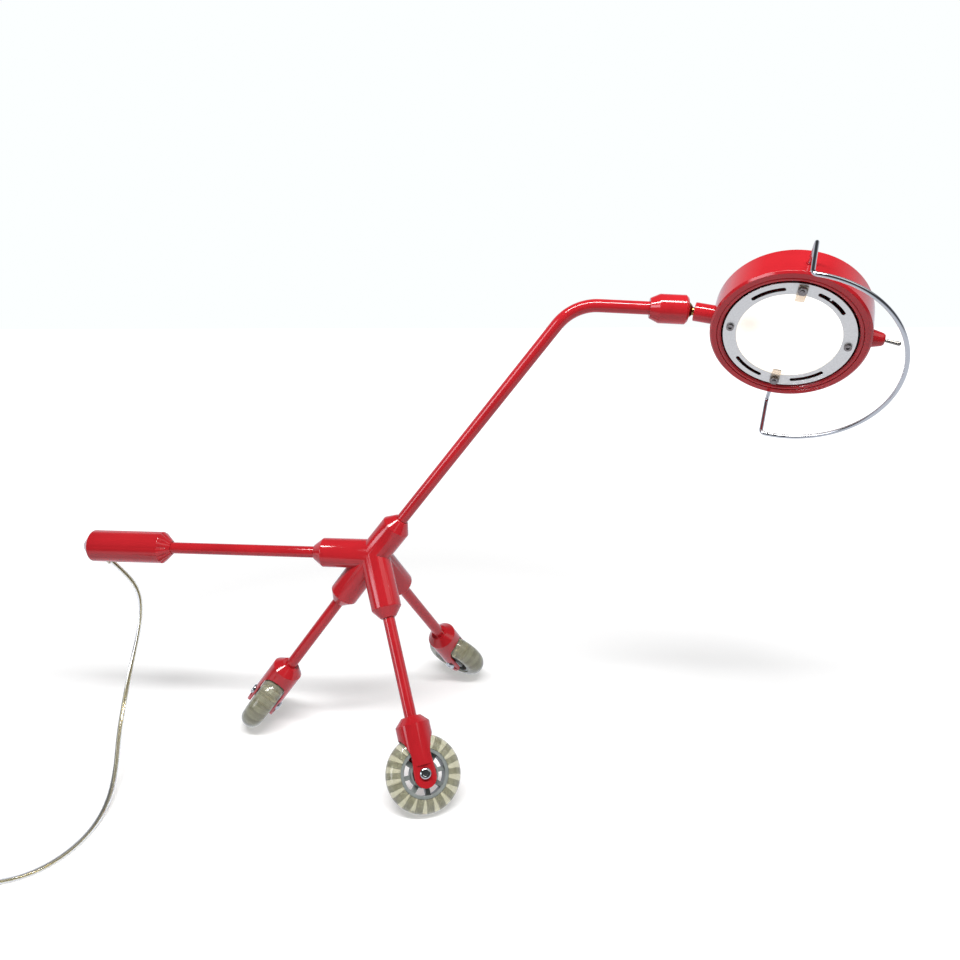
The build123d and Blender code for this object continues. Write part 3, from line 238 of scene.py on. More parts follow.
def flat_outline(name, loops):
    """Closed outlines in a plane, each a list of points in millimetres, for a curve's section."""
    outline = bpy.data.curves.new(name, "CURVE")
    outline.dimensions = "2D"
    for points in loops:
        spline = outline.splines.new("POLY")
        spline.points.add(len(points) - 1)
        for point, (x, y) in zip(spline.points, points):
            point.co = (x * mm, y * mm, 0, 1)
        spline.use_cyclic_u = True
    section = bpy.data.objects.new(name, outline)
    section.hide_render = True
    return section


def circle_points(x, y, radius, count, start=0.0, sweep=tau):
    """Points round a circle or along a part of it."""
    last = count if abs(sweep) >= tau else count - 1
    angles = [start + sweep * step / last for step in range(count)]
    return [(x + radius * cos(angle), y + radius * sin(angle)) for angle in angles]


def flex_curve(name, section, material):
    """The flex's line as one smooth spline, with a section drawn along it."""
    line = bpy.data.curves.new(name, "CURVE")
    line.dimensions = "3D"
    line.twist_mode = "Z_UP"
    spline = line.splines.new("NURBS")
    spline.points.add(len(flex_route) - 1)
    for point, (spot, tilt) in zip(spline.points, flex_route):
        point.co = (*spot, 1)
        point.tilt = radians(tilt)
    spline.order_u = 3
    spline.use_endpoint_u = True
    spline.resolution_u = 5
    line.bevel_mode = "OBJECT"
    line.bevel_object = section
    line.use_fill_caps = True
    line.materials.append(material)
    piece = bpy.data.objects.new(name, line)
    bpy.context.scene.collection.objects.link(piece)
    return piece


lobe_middle = flex_width / 2 - flex_lobe
lobe_open = radians(150)
groove_half = 0.2
skin_points = circle_points(
    lobe_middle, 0, flex_lobe, count=11, start=-lobe_open, sweep=2 * lobe_open
)
skin_points = [point for point in skin_points if point[0] > groove_half]
skin_points += [(-x, -y) for x, y in skin_points]
flex = flex_curve("supply_flex", flat_outline("flex_section", [skin_points]), clear_pvc)
strand_loops = [circle_points(side * lobe_middle, 0, flex_core, count=8) for side in (-1, 1)]
strands = flex_curve("flex_strands", flat_outline("strand_section", strand_loops), tinned_copper)
for piece in (flex, strands):
    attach(piece, "frame")
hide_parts("cord_lead", "cord_coil", "cord_end")


def dress(material, *nodes):
    """Give a material to parts that stay as the frame has them."""
    for node in nodes:
        slots = frame["nodes"][node].data.materials
        slots.clear()
        slots.append(material)


# Clear PVC, moulded: hazier than the flex, with a soft gloss.
plug_pvc = finish(
    "clear_pvc_moulded",
    "#E9E6DA",
    {"Roughness": 0.2, "IOR": 1.53, "Transmission Weight": 0.7},
    clouds=(12.0, "#DDD9C8", "#F0EEE4"),
    relief=(1.0, 0.02, 0.4),
)

# Nickel plate over drawn brass: bright and slightly warm, with an uneven gloss.
nickel_plate = finish(
    "nickel_plate_drawn",
    "#C9C3B4",
    {"Metallic": 1.0, "Roughness": 0.2},
    gloss=(2.0, 0.14, 0.28),
)

# Black nylon, moulded: satin, with a fine spark-eroded texture, drawn coarser than it is.
black_nylon = finish(
    "black_nylon_moulded",
    "#1C1C1D",
    {"Roughness": 0.45, "IOR": 1.53},
    gloss=(1.5, 0.38, 0.52),
    relief=(0.5, 0.02, 0.5),
)
dress(clear_pvc, "cord_entry", "cord_bush")
dress(plug_pvc, "plug_body")
dress(nickel_plate, "plug_pins")
dress(black_nylon, "cord_tie")


# Studio: a white paper sweep, a strip light above and in front of the lamp, and a weak broad
# light from the right. The lens sees plain white and the floor keeps the shadow. Only reflections
# see the room's dark front and a small bright window at its left.

def add_light(name, place, target, size, watts):
    """A rectangular light that faces a point and stays out of the picture."""
    data = bpy.data.lights.new(name, "AREA")
    data.shape = "RECTANGLE"
    data.size, data.size_y = size
    data.energy = watts
    light = bpy.data.objects.new(name, data)
    aim = Vector(target) - Vector(place)
    turned = aim.to_track_quat("-Z", "Y").to_matrix().to_4x4()
    light.matrix_world = Matrix.Translation(place) @ turned
    light.visible_camera = False
    bpy.context.scene.collection.objects.link(light)


floor_mesh = bpy.data.meshes.new("floor")
shape = bmesh.new()
bmesh.ops.create_grid(shape, x_segments=1, y_segments=1, size=4.0)
shape.to_mesh(floor_mesh)
shape.free()
floor = bpy.data.objects.new("floor", floor_mesh)
bpy.context.scene.collection.objects.link(floor)
floor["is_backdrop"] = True

paper = bpy.data.materials.new("white_paper_sweep")
paper.use_nodes = True
tree = paper.node_tree
tree.nodes.clear()
matt = add(tree, "ShaderNodeBsdfDiffuse", {"Color": linear("#FAFAFA")})
glow = add(tree, "ShaderNodeEmission", {"Color": linear("#FFFFFF"), "Strength": 1.35})
rays = add(tree, "ShaderNodeLightPath").outputs
clear_rays = {0: rays["Is Camera Ray"], 1: rays["Is Transmission Ray"]}
seen = add(tree, "ShaderNodeMath", (), clear_rays, operation="MAXIMUM")
place = add(tree, "ShaderNodeTexCoord").outputs["Object"]
away = add(tree, "ShaderNodeVectorMath", (), {0: place}, operation="LENGTH").outputs["Value"]
share = add(
    tree,
    "ShaderNodeMapRange",
    {"From Min": 0.4, "From Max": 0.8, "To Min": 0.3, "To Max": 1.0},
    {"Value": away},
)
plain = add(
    tree, "ShaderNodeMath", (), {0: seen.outputs[0], 1: share.outputs[0]}, operation="MULTIPLY"
)
blend = add(
    tree, "ShaderNodeMixShader", (), {0: plain.outputs[0], 1: matt.outputs[0], 2: glow.outputs[0]}
)
across = add(tree, "ShaderNodeSeparateXYZ", (), {"Vector": place})
front = add(
    tree,
    "ShaderNodeMapRange",
    {"From Min": -0.8, "From Max": -0.35, "To Min": 0.12, "To Max": 1.0},
    {"Value": across.outputs["Y"]},
)
mirrored_floor = add(
    tree, "ShaderNodeEmission", {"Color": linear("#F1F5FF")}, {"Strength": front.outputs[0]}
)
floor_look = add(
    tree,
    "ShaderNodeMixShader",
    (),
    {0: rays["Is Glossy Ray"], 1: blend.outputs[0], 2: mirrored_floor.outputs[0]},
)
add(tree, "ShaderNodeOutputMaterial", (), {"Surface": floor_look.outputs[0]})
floor_mesh.materials.append(paper)

window_side = Vector((-0.76, -0.53, 0.34)).normalized()
world = bpy.data.worlds.new("studio")
world.use_nodes = True
bpy.context.scene.world = world
tree = world.node_tree
tree.nodes.clear()
ambient = add(tree, "ShaderNodeBackground", {"Color": linear("#FFFFFF"), "Strength": 0.16})
backdrop = add(tree, "ShaderNodeBackground", {"Color": linear("#FCFFFF"), "Strength": 1.0})
direction = add(tree, "ShaderNodeTexCoord").outputs["Generated"]
parts = add(tree, "ShaderNodeSeparateXYZ", (), {"Vector": direction})
behind = add(
    tree,
    "ShaderNodeMapRange",
    {"From Min": -0.1, "From Max": 0.35, "To Min": 0.0, "To Max": 1.0},
    {"Value": parts.outputs["Y"]},
)
low = add(
    tree,
    "ShaderNodeMapRange",
    {"From Min": 0.75, "From Max": 0.3, "To Min": 0.0, "To Max": 1.0},
    {"Value": parts.outputs["Z"]},
)
white_part = add(
    tree, "ShaderNodeMath", (), {0: behind.outputs[0], 1: low.outputs[0]}, operation="MULTIPLY"
)
room = add(
    tree,
    "ShaderNodeMapRange",
    {"From Min": 0.0, "From Max": 1.0, "To Min": 0.07, "To Max": 0.9},
    {"Value": white_part.outputs[0]},
)
facing = add(
    tree,
    "ShaderNodeVectorMath",
    {1: window_side},
    {0: direction},
    operation="DOT_PRODUCT",
)
window = add(
    tree,
    "ShaderNodeMapRange",
    {"From Min": 0.965, "From Max": 0.985, "To Min": 0.0, "To Max": 6.0},
    {"Value": facing.outputs["Value"]},
)
room_and_window = add(
    tree, "ShaderNodeMath", (), {0: room.outputs[0], 1: window.outputs[0]}, operation="ADD"
)
mirrored_room = add(
    tree,
    "ShaderNodeBackground",
    {"Color": linear("#F1F5FF")},
    {"Strength": room_and_window.outputs[0]},
)
rays = add(tree, "ShaderNodeLightPath").outputs
lit = add(
    tree,
    "ShaderNodeMixShader",
    (),
    {0: rays["Is Glossy Ray"], 1: ambient.outputs[0], 2: mirrored_room.outputs[0]},
)
clear_rays = {0: rays["Is Camera Ray"], 1: rays["Is Transmission Ray"]}
seen = add(tree, "ShaderNodeMath", (), clear_rays, operation="MAXIMUM")
room_look = add(
    tree, "ShaderNodeMixShader", (), {0: seen.outputs[0], 1: lit.outputs[0], 2: backdrop.outputs[0]}
)
add(tree, "ShaderNodeOutputWorld", (), {"Surface": room_look.outputs[0]})

add_light(
    "strip_light", place=(0.05, -0.37, 1.15), target=(0.05, 0.0, 0.15), size=(0.95, 0.17), watts=16.0
)
add_light(
    "soft_light", place=(0.9, -0.5, 1.3), target=(0.1, 0.0, 0.2), size=(0.9, 0.9), watts=3.0
)


# Hub: five steel sockets turned from bar, welded at one point and stoved in red enamel.
# Three take the legs, one the tail rod and one the swivelling arm.

def stand(origin, up, across=(0.0, 0.0, 1.0)):
    """Place for a shape drawn in millimetres: its Z along one direction, its X towards another."""
    z_axis = Vector(up).normalized()
    x_axis = Vector(across)
    x_axis = (x_axis - z_axis * x_axis.dot(z_axis)).normalized()
    turned = Matrix((x_axis, z_axis.cross(x_axis), z_axis)).transposed().to_4x4()
    return Matrix.Translation(origin) @ turned @ Matrix.Scale(mm, 4)


def spun(outline, ease, steps=96, closed=False):
    """Turned shape: (radius, height) points in millimetres, corners eased, spun about Z."""
    shape = bmesh.new()
    corners = [shape.verts.new((radius, 0, height)) for radius, height in outline]
    ends = corners[1:] + corners[:1] if closed else corners[1:]
    for start, end in zip(corners, ends):
        shape.edges.new((start, end))
    if ease:
        eased = corners if closed else corners[1:-1]
        bmesh.ops.bevel(
            shape,
            geom=eased,
            offset=ease,
            affect="VERTICES",
            segments=3,
            profile=0.5,
            material=-1,
            clamp_overlap=True,
        )
    bmesh.ops.spin(
        shape,
        geom=shape.verts[:] + shape.edges[:],
        cent=(0, 0, 0),
        axis=(0, 0, 1),
        angle=tau,
        steps=steps,
        use_merge=True,
    )
    bmesh.ops.remove_doubles(shape, verts=shape.verts[:], dist=0.0005)
    bmesh.ops.recalc_face_normals(shape, faces=shape.faces[:])
    return shape


def worked(shape, tool, operation="DIFFERENCE"):
    """Cut a tool's shape from a shape, or join or intersect the two."""
    pair = []
    for source in (shape, tool):
        mesh = bpy.data.meshes.new("blank")
        source.to_mesh(mesh)
        source.free()
        blank = bpy.data.objects.new("blank", mesh)
        bpy.context.scene.collection.objects.link(blank)
        pair.append(blank)
    boolean = pair[0].modifiers.new("boolean", "BOOLEAN")
    boolean.operation = operation
    boolean.object = pair[1]
    boolean.solver = "EXACT"
    bpy.context.view_layer.update()
    result = bmesh.new()
    result.from_object(pair[0], bpy.context.evaluated_depsgraph_get())
    for blank in pair:
        bpy.data.objects.remove(blank)
    return result


def ease_edges(shape, width, angle):
    """Round every edge that is sharper than an angle, as paint and tumbling do."""
    bmesh.ops.remove_doubles(shape, verts=shape.verts[:], dist=0.001)
    bmesh.ops.dissolve_limit(
        shape, angle_limit=radians(0.5), verts=shape.verts[:], edges=shape.edges[:]
    )
    sharp = [edge for edge in shape.edges if edge.calc_face_angle(0.0) > radians(angle)]
    bmesh.ops.bevel(
        shape,
        geom=sharp,
        offset=width,
        affect="EDGES",
        segments=2,
        profile=0.5,
        material=-1,
        clamp_overlap=True,
    )
    return shape


smooth_angle = radians(40)


def install(shape, name, material, body, slot, *nodes):
    """Make a finished shape a piece of the lamp that moves with its body."""
    mesh = bpy.data.meshes.new(name)
    shape.to_mesh(mesh)
    shape.free()
    mesh.polygons.foreach_set("use_smooth", [True] * len(mesh.polygons))
    mesh.set_sharp_from_angle(angle=smooth_angle)
    mesh.materials.append(material)
    piece = bpy.data.objects.new(name, mesh)
    bpy.context.scene.collection.objects.link(piece)
    even = piece.modifiers.new("even_shading", "WEIGHTED_NORMAL")
    even.keep_sharp = True
    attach(piece, body)
    if nodes:
        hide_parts(*nodes)
    return piece


# Stoved enamel over steel: deep warm red, a wet gloss and a faint orange peel, which is drawn
# coarser than it is so that it shows.
red_enamel = finish(
    "red_enamel_stoved",
    "#AE1F26",
    {"Roughness": 0.07, "IOR": 1.5},
    clouds=(30.0, "#A81D24", "#B42128"),
    gloss=(6.0, 0.05, 0.1),
    relief=(7.0, 0.004, 0.3),
)

# Zinc plate over steel: blue-grey and satin, with cloudy patches.
zinc_plate = finish(
    "zinc_plate_bright",
    "#B9BCC0",
    {"Metallic": 1.0, "Roughness": 0.3},
    clouds=(3.0, "#A9ACB2", "#C4C6C8"),
    gloss=(1.2, 0.22, 0.4),
)
dress(zinc_plate, "arm_set_screw")

hub_center = Vector(joints["arm_swivel"]["pos_m"])
arm_axis = Vector(joints["arm_swivel"]["axis"])
tail_axis = Vector((-1.0, 0.0, 0.0))
leg_names = ("rear", "right", "left")
axle_centers = {name: Vector(joints[f"wheel_spin_{name}"]["pos_m"]) for name in leg_names}
axle_axes = {name: Vector(joints[f"wheel_spin_{name}"]["axis"]) for name in leg_names}
leg_axes = {name: (axle_centers[name] - hub_center).normalized() for name in leg_names}

rod_radius = 5.0
rod_bore = rod_radius + 0.05
bore_depth = 4.0
socket_radius = 12.7
socket_mouth = 6.3
socket_cone = 8.3
socket_root = 2.0
root_chamfer = 1.0
socket_ease = 0.5
leg_socket = 57.0
tail_socket = 53.2
arm_socket = 41.0
socket_lengths = [(leg_axes[name], leg_socket) for name in leg_names]
socket_lengths += [(tail_axis, tail_socket), (arm_axis, arm_socket)]
facet_side = (0.3, 1.0, 0.1)


def socket_shape(length):
    """One socket from the hub's middle to its mouth."""
    outline = [
        (0, -socket_root),
        (socket_radius - root_chamfer, -socket_root),
        (socket_radius, 0),
        (socket_radius, length - socket_cone),
        (socket_mouth, length),
        (rod_bore, length),
        (rod_bore, length - bore_depth),
        (0, length - bore_depth),
    ]
    return spun(outline, socket_ease)


hub = None
for axis, length in socket_lengths:
    socket = socket_shape(length)
    socket.transform(stand((0, 0, 0), axis, facet_side) @ Matrix.Scale(1 / mm, 4))
    hub = socket if hub is None else worked(hub, socket, "UNION")
hub.transform(Matrix.Translation(hub_center) @ Matrix.Scale(mm, 4))
install(hub, "hub_casting", red_enamel, "frame", "red_paint", "hub")


# Legs and tail rod: 10 mm round steel tube, pushed into the sockets and enamelled with them.
# Each leg runs from a hub socket down into the head of its fork.

def straight_rod(start, end, radius, steps=48):
    """Plain round rod between two heights."""
    return spun([(0, start), (radius, start), (radius, end), (0, end)], ease=0.0, steps=steps)


leg_start = 31.0
fork_socket = 35.5
tail_start = 27.2
tail_end = 205.0
for name in leg_names:
    leg_end = (axle_centers[name] - hub_center).length / mm - fork_socket
    rod = straight_rod(leg_start, leg_end, rod_radius)
    rod.transform(stand(hub_center, leg_axes[name], axle_axes[name]))
    install(rod, f"leg_rod_{name}", red_enamel, "frame", "red_paint", f"leg_tube_{name}")
rod = straight_rod(tail_start, tail_end, rod_radius)
rod.transform(stand(hub_center, tail_axis))
install(rod, "tail_rod", red_enamel, "frame", "red_paint", "tail_tube")


# Forks: round steel bar, waisted between head and axle, with a slot turned to the wheel's
# own outline and a flat milled on each cheek for the axle's heads. Enamelled like the tubes.

def prism(points, low, high):
    """Straight shape over a closed outline of (x, y) points, between two heights."""
    shape = bmesh.new()
    face = shape.faces.new([shape.verts.new((x, y, low)) for x, y in points])
    raised = bmesh.ops.extrude_face_region(shape, geom=[face])["geom"]
    moved = [item for item in raised if isinstance(item, bmesh.types.BMVert)]
    bmesh.ops.translate(shape, vec=(0, 0, high - low), verts=moved)
    bmesh.ops.recalc_face_normals(shape, faces=shape.faces[:])
    return shape


def block(low, high):
    """Box between two corners."""
    shape = bmesh.new()
    bmesh.ops.create_cube(shape, size=1.0)
    size = Vector(high) - Vector(low)
    bmesh.ops.scale(shape, vec=size, verts=shape.verts[:])
    bmesh.ops.translate(shape, vec=(Vector(high) + Vector(low)) / 2, verts=shape.verts[:])
    return shape


fork_radius = 14.0
fork_top = 44.5
fork_chamfer = 6.0
fork_end = 11.0
fork_foot = 8.7
fork_waist = 7.7
fork_flat = 12.6
fork_ease = 0.45
eased_angle = 32
flat_reach = 20.0
flat_low = -6.0
flat_high = 6.5
slot_half = 10.5
slot_flank = 21.5
slot_roof = 32.0
waist_top = 29.0
waist_middle = 14.5
blank_margin = 1.0

upper_waist = [
    (fork_radius, waist_top, 0),
    (12.4, 24, 0),
    (fork_waist, 19.5, 0),
    (fork_waist, waist_middle, 0),
]
lower_waist = [
    (fork_waist, waist_middle, 0),
    (fork_waist, 9.5, 0),
    (fork_foot, 5, 0),
    (fork_foot, 0, 0),
]
waist_points = interpolate_bezier(*upper_waist, 9) + interpolate_bezier(*lower_waist, 8)[1:]
waist_side = [(point.x, point.y) for point in waist_points]
foot_arc = circle_points(0, fork_foot - fork_end, fork_foot, count=13, start=0, sweep=-pi / 2)
blank_side = fork_radius + blank_margin
cheek_side = [(blank_side, fork_top + blank_margin), (blank_side, waist_top + 0.5)]
cheek_side += waist_side + foot_arc
cheek_outline = cheek_side + [(-x, y) for x, y in reversed(cheek_side[:-1])]


crown_steps = 20


def crowned(bore, half, flank, crown):
    """Outline of a turned ring with flat sides up to its flank and a round crown."""
    arc = [
        (flank + (crown - flank) * sin(angle), -half * cos(angle))
        for angle in [pi * step / crown_steps for step in range(crown_steps + 1)]
    ]
    return [(bore, -half)] + arc + [(bore, half)]


def fork_shape():
    """A whole fork, its Z up the leg and its X along the axle."""
    bar_outline = [
        (0, -fork_end - blank_margin),
        (fork_radius, -fork_end - blank_margin),
        (fork_radius, fork_top - fork_chamfer),
        (fork_radius - fork_chamfer, fork_top),
        (rod_bore, fork_top),
        (rod_bore, fork_top - bore_depth),
        (0, fork_top - bore_depth),
    ]
    bar = spun(bar_outline, ease=0.0, steps=72)
    cheeks = prism(cheek_outline, -blank_side, blank_side)
    bmesh.ops.transform(
        cheeks,
        matrix=Matrix(((0, 0, 1, 0), (1, 0, 0, 0), (0, 1, 0, 0), (0, 0, 0, 1))),
        verts=cheeks.verts[:],
    )
    fork = worked(bar, cheeks, "INTERSECT")
    slot = spun(crowned(0, slot_half, slot_flank, slot_roof), ease=0.0, steps=120)
    slot.transform(Matrix.Rotation(pi / 2, 4, "Y"))
    fork = worked(fork, slot)
    for side in (-1, 1):
        near, far = sorted((side * fork_flat, side * flat_reach))
        flat = block((near, -flat_reach, flat_low), (far, flat_reach, flat_high))
        fork = worked(fork, flat)
    return ease_edges(fork, fork_ease, eased_angle)


fork_blank = bpy.data.meshes.new("fork_blank")
shape = fork_shape()
shape.to_mesh(fork_blank)
shape.free()
for name in leg_names:
    fork = bmesh.new()
    fork.from_mesh(fork_blank)
    fork.transform(stand(axle_centers[name], -leg_axes[name], axle_axes[name]))
    install(fork, f"fork_bar_{name}", red_enamel, "frame", "red_paint", f"fork_{name}")


# Wheels: skate wheels. A grey nylon core with eight spokes and a ring of ribs is moulded first,
# and a clear smoke-tinted urethane tyre with a round crown is cast over its ribs.

tyre_radius = 30.0
tyre_half = 9.7
tyre_flank = 21.0
tyre_bore = 19.05
rib_count = 18
rib_width = 4.3
rib_half = 8.2
rib_crown = 26.4
rib_root = 17.0
rib_reach = 31.0
rib_deep = 10.0
band_bore = 18.5
spoke_count = 8
spoke_half = 1.7
spoke_deep = 4.5
spoke_root = 10.4
spoke_tip = 16.7

# Cast polyurethane: see-through but slightly milky smoke, with a yellow-green cast.
smoke_urethane = finish(
    "smoke_urethane_cast",
    "#E3DDBD",
    {"Roughness": 0.08, "IOR": 1.49, "Transmission Weight": 0.78},
    clouds=(14.0, "#DCD6B2", "#EAE5C8"),
    gloss=(5.0, 0.07, 0.16),
    relief=(6.0, 0.03, 0.4),
)

# Grey nylon, moulded: satin, with a fine mould texture, drawn coarser than it is.
grey_nylon = finish(
    "grey_nylon_moulded",
    "#7C8280",
    {"Roughness": 0.42, "IOR": 1.53},
    clouds=(8.0, "#747A78", "#858B88"),
    relief=(0.5, 0.02, 0.6),
)


def ring_of(count, low, high):
    """Equal boxes set round the Z axis."""
    boxes = bmesh.new()
    for step in range(count):
        made = bmesh.ops.create_cube(boxes, size=1.0)["verts"]
        bmesh.ops.scale(boxes, vec=Vector(high) - Vector(low), verts=made)
        bmesh.ops.translate(boxes, vec=(Vector(high) + Vector(low)) / 2, verts=made)
        bmesh.ops.rotate(boxes, matrix=Matrix.Rotation(tau * step / count, 3, "Z"), verts=made)
    return boxes


def tyre_shape():
    """A tyre with its axis along Z."""
    outline = crowned(tyre_bore, tyre_half, tyre_flank, tyre_radius)
    return spun(outline, ease=0.0, steps=120, closed=True)


def sleeve(inner, outer, half, ease, steps):
    """Plain ring round the Z axis, as deep on both sides of the origin."""
    outline = [(inner, -half), (inner, half), (outer, half), (outer, -half)]
    return spun(outline, ease, steps, closed=True)


def core_shape():
    """A wheel's core: rim, hub, web, spokes and ribs."""
    core = sleeve(inner=16.2, outer=19, half=9.2, ease=0.4, steps=96)
    barrel = sleeve(inner=9.5, outer=10.9, half=8.9, ease=0.3, steps=72)
    web = sleeve(inner=5.5, outer=10.2, half=2.9, ease=0.3, steps=72)
    band_outline = crowned(band_bore, rib_half, tyre_flank, rib_crown)
    band = spun(band_outline, ease=0.0, steps=96, closed=True)
    rib_low = (rib_root, -rib_width / 2, -rib_deep)
    rib_high = (rib_reach, rib_width / 2, rib_deep)
    ribs = worked(band, ring_of(rib_count, rib_low, rib_high), "INTERSECT")
    spoke_low = (spoke_root, -spoke_half, -spoke_deep)
    spoke_high = (spoke_tip, spoke_half, spoke_deep)
    spokes = ring_of(spoke_count, spoke_low, spoke_high)
    for part in (worked(barrel, web, "UNION"), spokes, ribs):
        core = worked(core, part, "UNION")
    return core


blanks = {}
for label, maker in (("tyre", tyre_shape), ("core", core_shape)):
    shape = maker()
    blanks[label] = bpy.data.meshes.new(label)
    shape.to_mesh(blanks[label])
    shape.free()
for name in leg_names:
    wheel = f"wheel_{name}"
    wheel_place = stand(axle_centers[name], axle_axes[name], leg_axes[name])
    tyre = bmesh.new()
    tyre.from_mesh(blanks["tyre"])
    tyre.transform(wheel_place)
    install(tyre, f"tyre_ribbed_{name}", smoke_urethane, wheel, "smoke_urethane", f"tyre_{name}")
    core = bmesh.new()
    core.from_mesh(blanks["core"])
    core.transform(wheel_place)
    install(core, f"core_spoked_{name}", grey_nylon, wheel, "grey_nylon", f"wheel_core_{name}")


# Axles: a sleeve nut and a screw, both with chromed button heads and hexagon sockets.
# Their shanks stay as the frame has them.

# Chrome plate over steel, polished: mirror-like, and a little smeared from handling.
chrome_plate = finish(
    "chrome_plate_polished",
    "#C2C4C7",
    {"Metallic": 1.0, "Roughness": 0.12},
    gloss=(3.0, 0.09, 0.16),
)

# Natural nylon, turned: milky white and waxy.
white_nylon = finish(
    "white_nylon_turned",
    "#E6E3DA",
    {"Roughness": 0.4, "IOR": 1.53, "Subsurface Weight": 0.1},
    clouds=(3.0, "#DEDACF", "#ECEAE2"),
)

# Bearing steel, ground: bright, with a shine that varies a little.
bearing_steel = finish(
    "bearing_steel_ground",
    "#B4B4B6",
    {"Metallic": 1.0, "Roughness": 0.2},
    gloss=(0.8, 0.14, 0.28),
)
dress(chrome_plate, "axle_sleeves", "axle_screws")
dress(white_nylon, "axle_spacers", "ball_seat")
dress(bearing_steel, *[f"wheel_bearings_{name}" for name in leg_names])


# Counterweight: a pressed steel case over a slug, crimped at its front onto the tail rod.
# The back is closed by a clear domed cap, and the flex leaves through a clear bush below.

weight_radius = 14.0
weight_front = 183.5
weight_back = 256.6
weight_end = 262.8
weight_outline = [
    (rod_bore, 186),
    (rod_bore, weight_front),
    (5.9, weight_front),
    (8.6, 186.3),
    (11.3, 189.2),
    (weight_radius, 192.0),
    (weight_radius, weight_back),
    (6.8, weight_end),
    (5.3, weight_end),
    (5.3, 260.0),
]
weight = spun(weight_outline, ease=0.4, steps=160)

# The crimps fade in from the front and out towards the case's full width.
crimp_count = 10
crimp_depth = 0.9
crimp_core = 5.2
crimp_start = 184.5
crimp_end = 194
crimp_fade_in = 3
crimp_fade_out = 3.5
for vert in weight.verts:
    radius = vert.co.xy.length
    if vert.co.z < crimp_end and radius > crimp_core:
        rise = min(max((vert.co.z - crimp_start) / crimp_fade_in, 0), 1)
        fall = min(max((crimp_end - vert.co.z) / crimp_fade_out, 0), 1)
        ridge = abs(sin(vert.co.xy.angle_signed(Vector((1, 0))) * crimp_count / 2))
        vert.co.xy *= 1 - rise * fall * crimp_depth * (1 - ridge) ** 2 / radius
weight.transform(stand(hub_center, tail_axis))
install(weight, "weight_case", red_enamel, "frame", "red_paint", "weight_shell")

# Clear acrylic, moulded: a hazy lens with a faint pink cast, a painted reflection of the red paint round
# it.
clear_acrylic = finish(
    "clear_acrylic_moulded",
    "#F2E9E6",
    {"Roughness": 0.14, "IOR": 1.49, "Transmission Weight": 0.75},
    relief=(3.0, 0.05, 0.4),
)
cap_radius = 6.4
cap_dome = 3.7
cap_sphere = (cap_radius**2 + cap_dome**2) / (2 * cap_dome)
cap_half = asin(cap_radius / cap_sphere)
cap_foot = 259.8
cap_stem = 5.2
cap_steps = 10
cap_outline = [(0, cap_foot), (cap_stem, cap_foot), (cap_stem, weight_end)] + [
    (cap_sphere * sin(angle), weight_end + cap_dome - cap_sphere * (1 - cos(angle)))
    for angle in [cap_half * (1 - step / cap_steps) for step in range(cap_steps + 1)]
]
cap = spun(cap_outline, ease=0.0, steps=64)
cap.transform(stand(hub_center, tail_axis))
install(cap, "tail_dome", clear_acrylic, "frame", "cap_clear", "tail_cap")

# Silicone rubber sleeve, extruded: white and dull. It covers the wires in the tubes, and the
# block that grips the flex is as white.
white_sleeve = finish(
    "silicone_sleeve_extruded",
    "#E9E7E1",
    {"Roughness": 0.55, "IOR": 1.45},
    gloss=(2.0, 0.48, 0.62),
)
dress(white_sleeve, "tail_flex", "arm_flex", "cord_anchor")
dress(zinc_plate, "weight_slug", "arm_ferrule")


# Arm: the same tube, bent over a former near its top and enamelled in one piece.
# It turns in the hub, so its foot is out of sight in the socket.

def bend(before, corner, after, radius, steps):
    """Points of the arc that rounds a corner between two straight runs."""
    run_in = (corner - before).normalized()
    run_out = (after - corner).normalized()
    half = run_in.angle(run_out) / 2
    start = corner - run_in * radius * tan(half)
    side = (run_out - run_in * run_in.dot(run_out)).normalized()
    centre = start + side * radius
    angles = [2 * half * step / steps for step in range(steps + 1)]
    return [
        centre - side * radius * cos(angle) + run_in * radius * sin(angle) for angle in angles
    ]


def bent_rod(points, radius, sides):
    """Round rod along a line of points, in metres."""
    line = bpy.data.curves.new("rod", "CURVE")
    line.dimensions = "3D"
    line.twist_mode = "MINIMUM"
    spline = line.splines.new("POLY")
    spline.points.add(len(points) - 1)
    for point, spot in zip(spline.points, points):
        point.co = (*spot, 1)
    line.bevel_depth = radius * mm
    line.bevel_resolution = sides
    line.use_fill_caps = True
    blank = bpy.data.objects.new("rod", line)
    bpy.context.scene.collection.objects.link(blank)
    bpy.context.view_layer.update()
    evaluated = blank.evaluated_get(bpy.context.evaluated_depsgraph_get())
    swept = bpy.data.meshes.new_from_object(evaluated)
    shape = bmesh.new()
    shape.from_mesh(swept)
    bpy.data.objects.remove(blank)
    bmesh.ops.remove_doubles(shape, verts=shape.verts[:], dist=1e-7)
    bmesh.ops.recalc_face_normals(shape, faces=shape.faces[:])
    return shape


ball_center = Vector(joints["collar_swivel"]["pos_m"])
end_axis = Vector(joints["collar_swivel"]["axis"])
arm_reach = 267.5 * mm
foot_depth = 17
tip_run = 70
arm_bend = 38
arm_corner = hub_center + arm_axis * arm_reach
arm_foot = hub_center + arm_axis * foot_depth * mm
arm_tip = arm_corner + end_axis * tip_run * mm
arm_curve = bend(arm_foot, arm_corner, arm_tip, arm_bend * mm, steps=32)
arm_rod = bent_rod([arm_foot] + arm_curve + [arm_tip], rod_radius, sides=22)
install(arm_rod, "arm_rod", red_enamel, "arm", "red_paint", "arm_tube")


# Collar: a turned steel cup on the arm's end that holds the brass ball, enamelled outside.
# The neck beyond the ball is a short turned sleeve that reaches the drum.

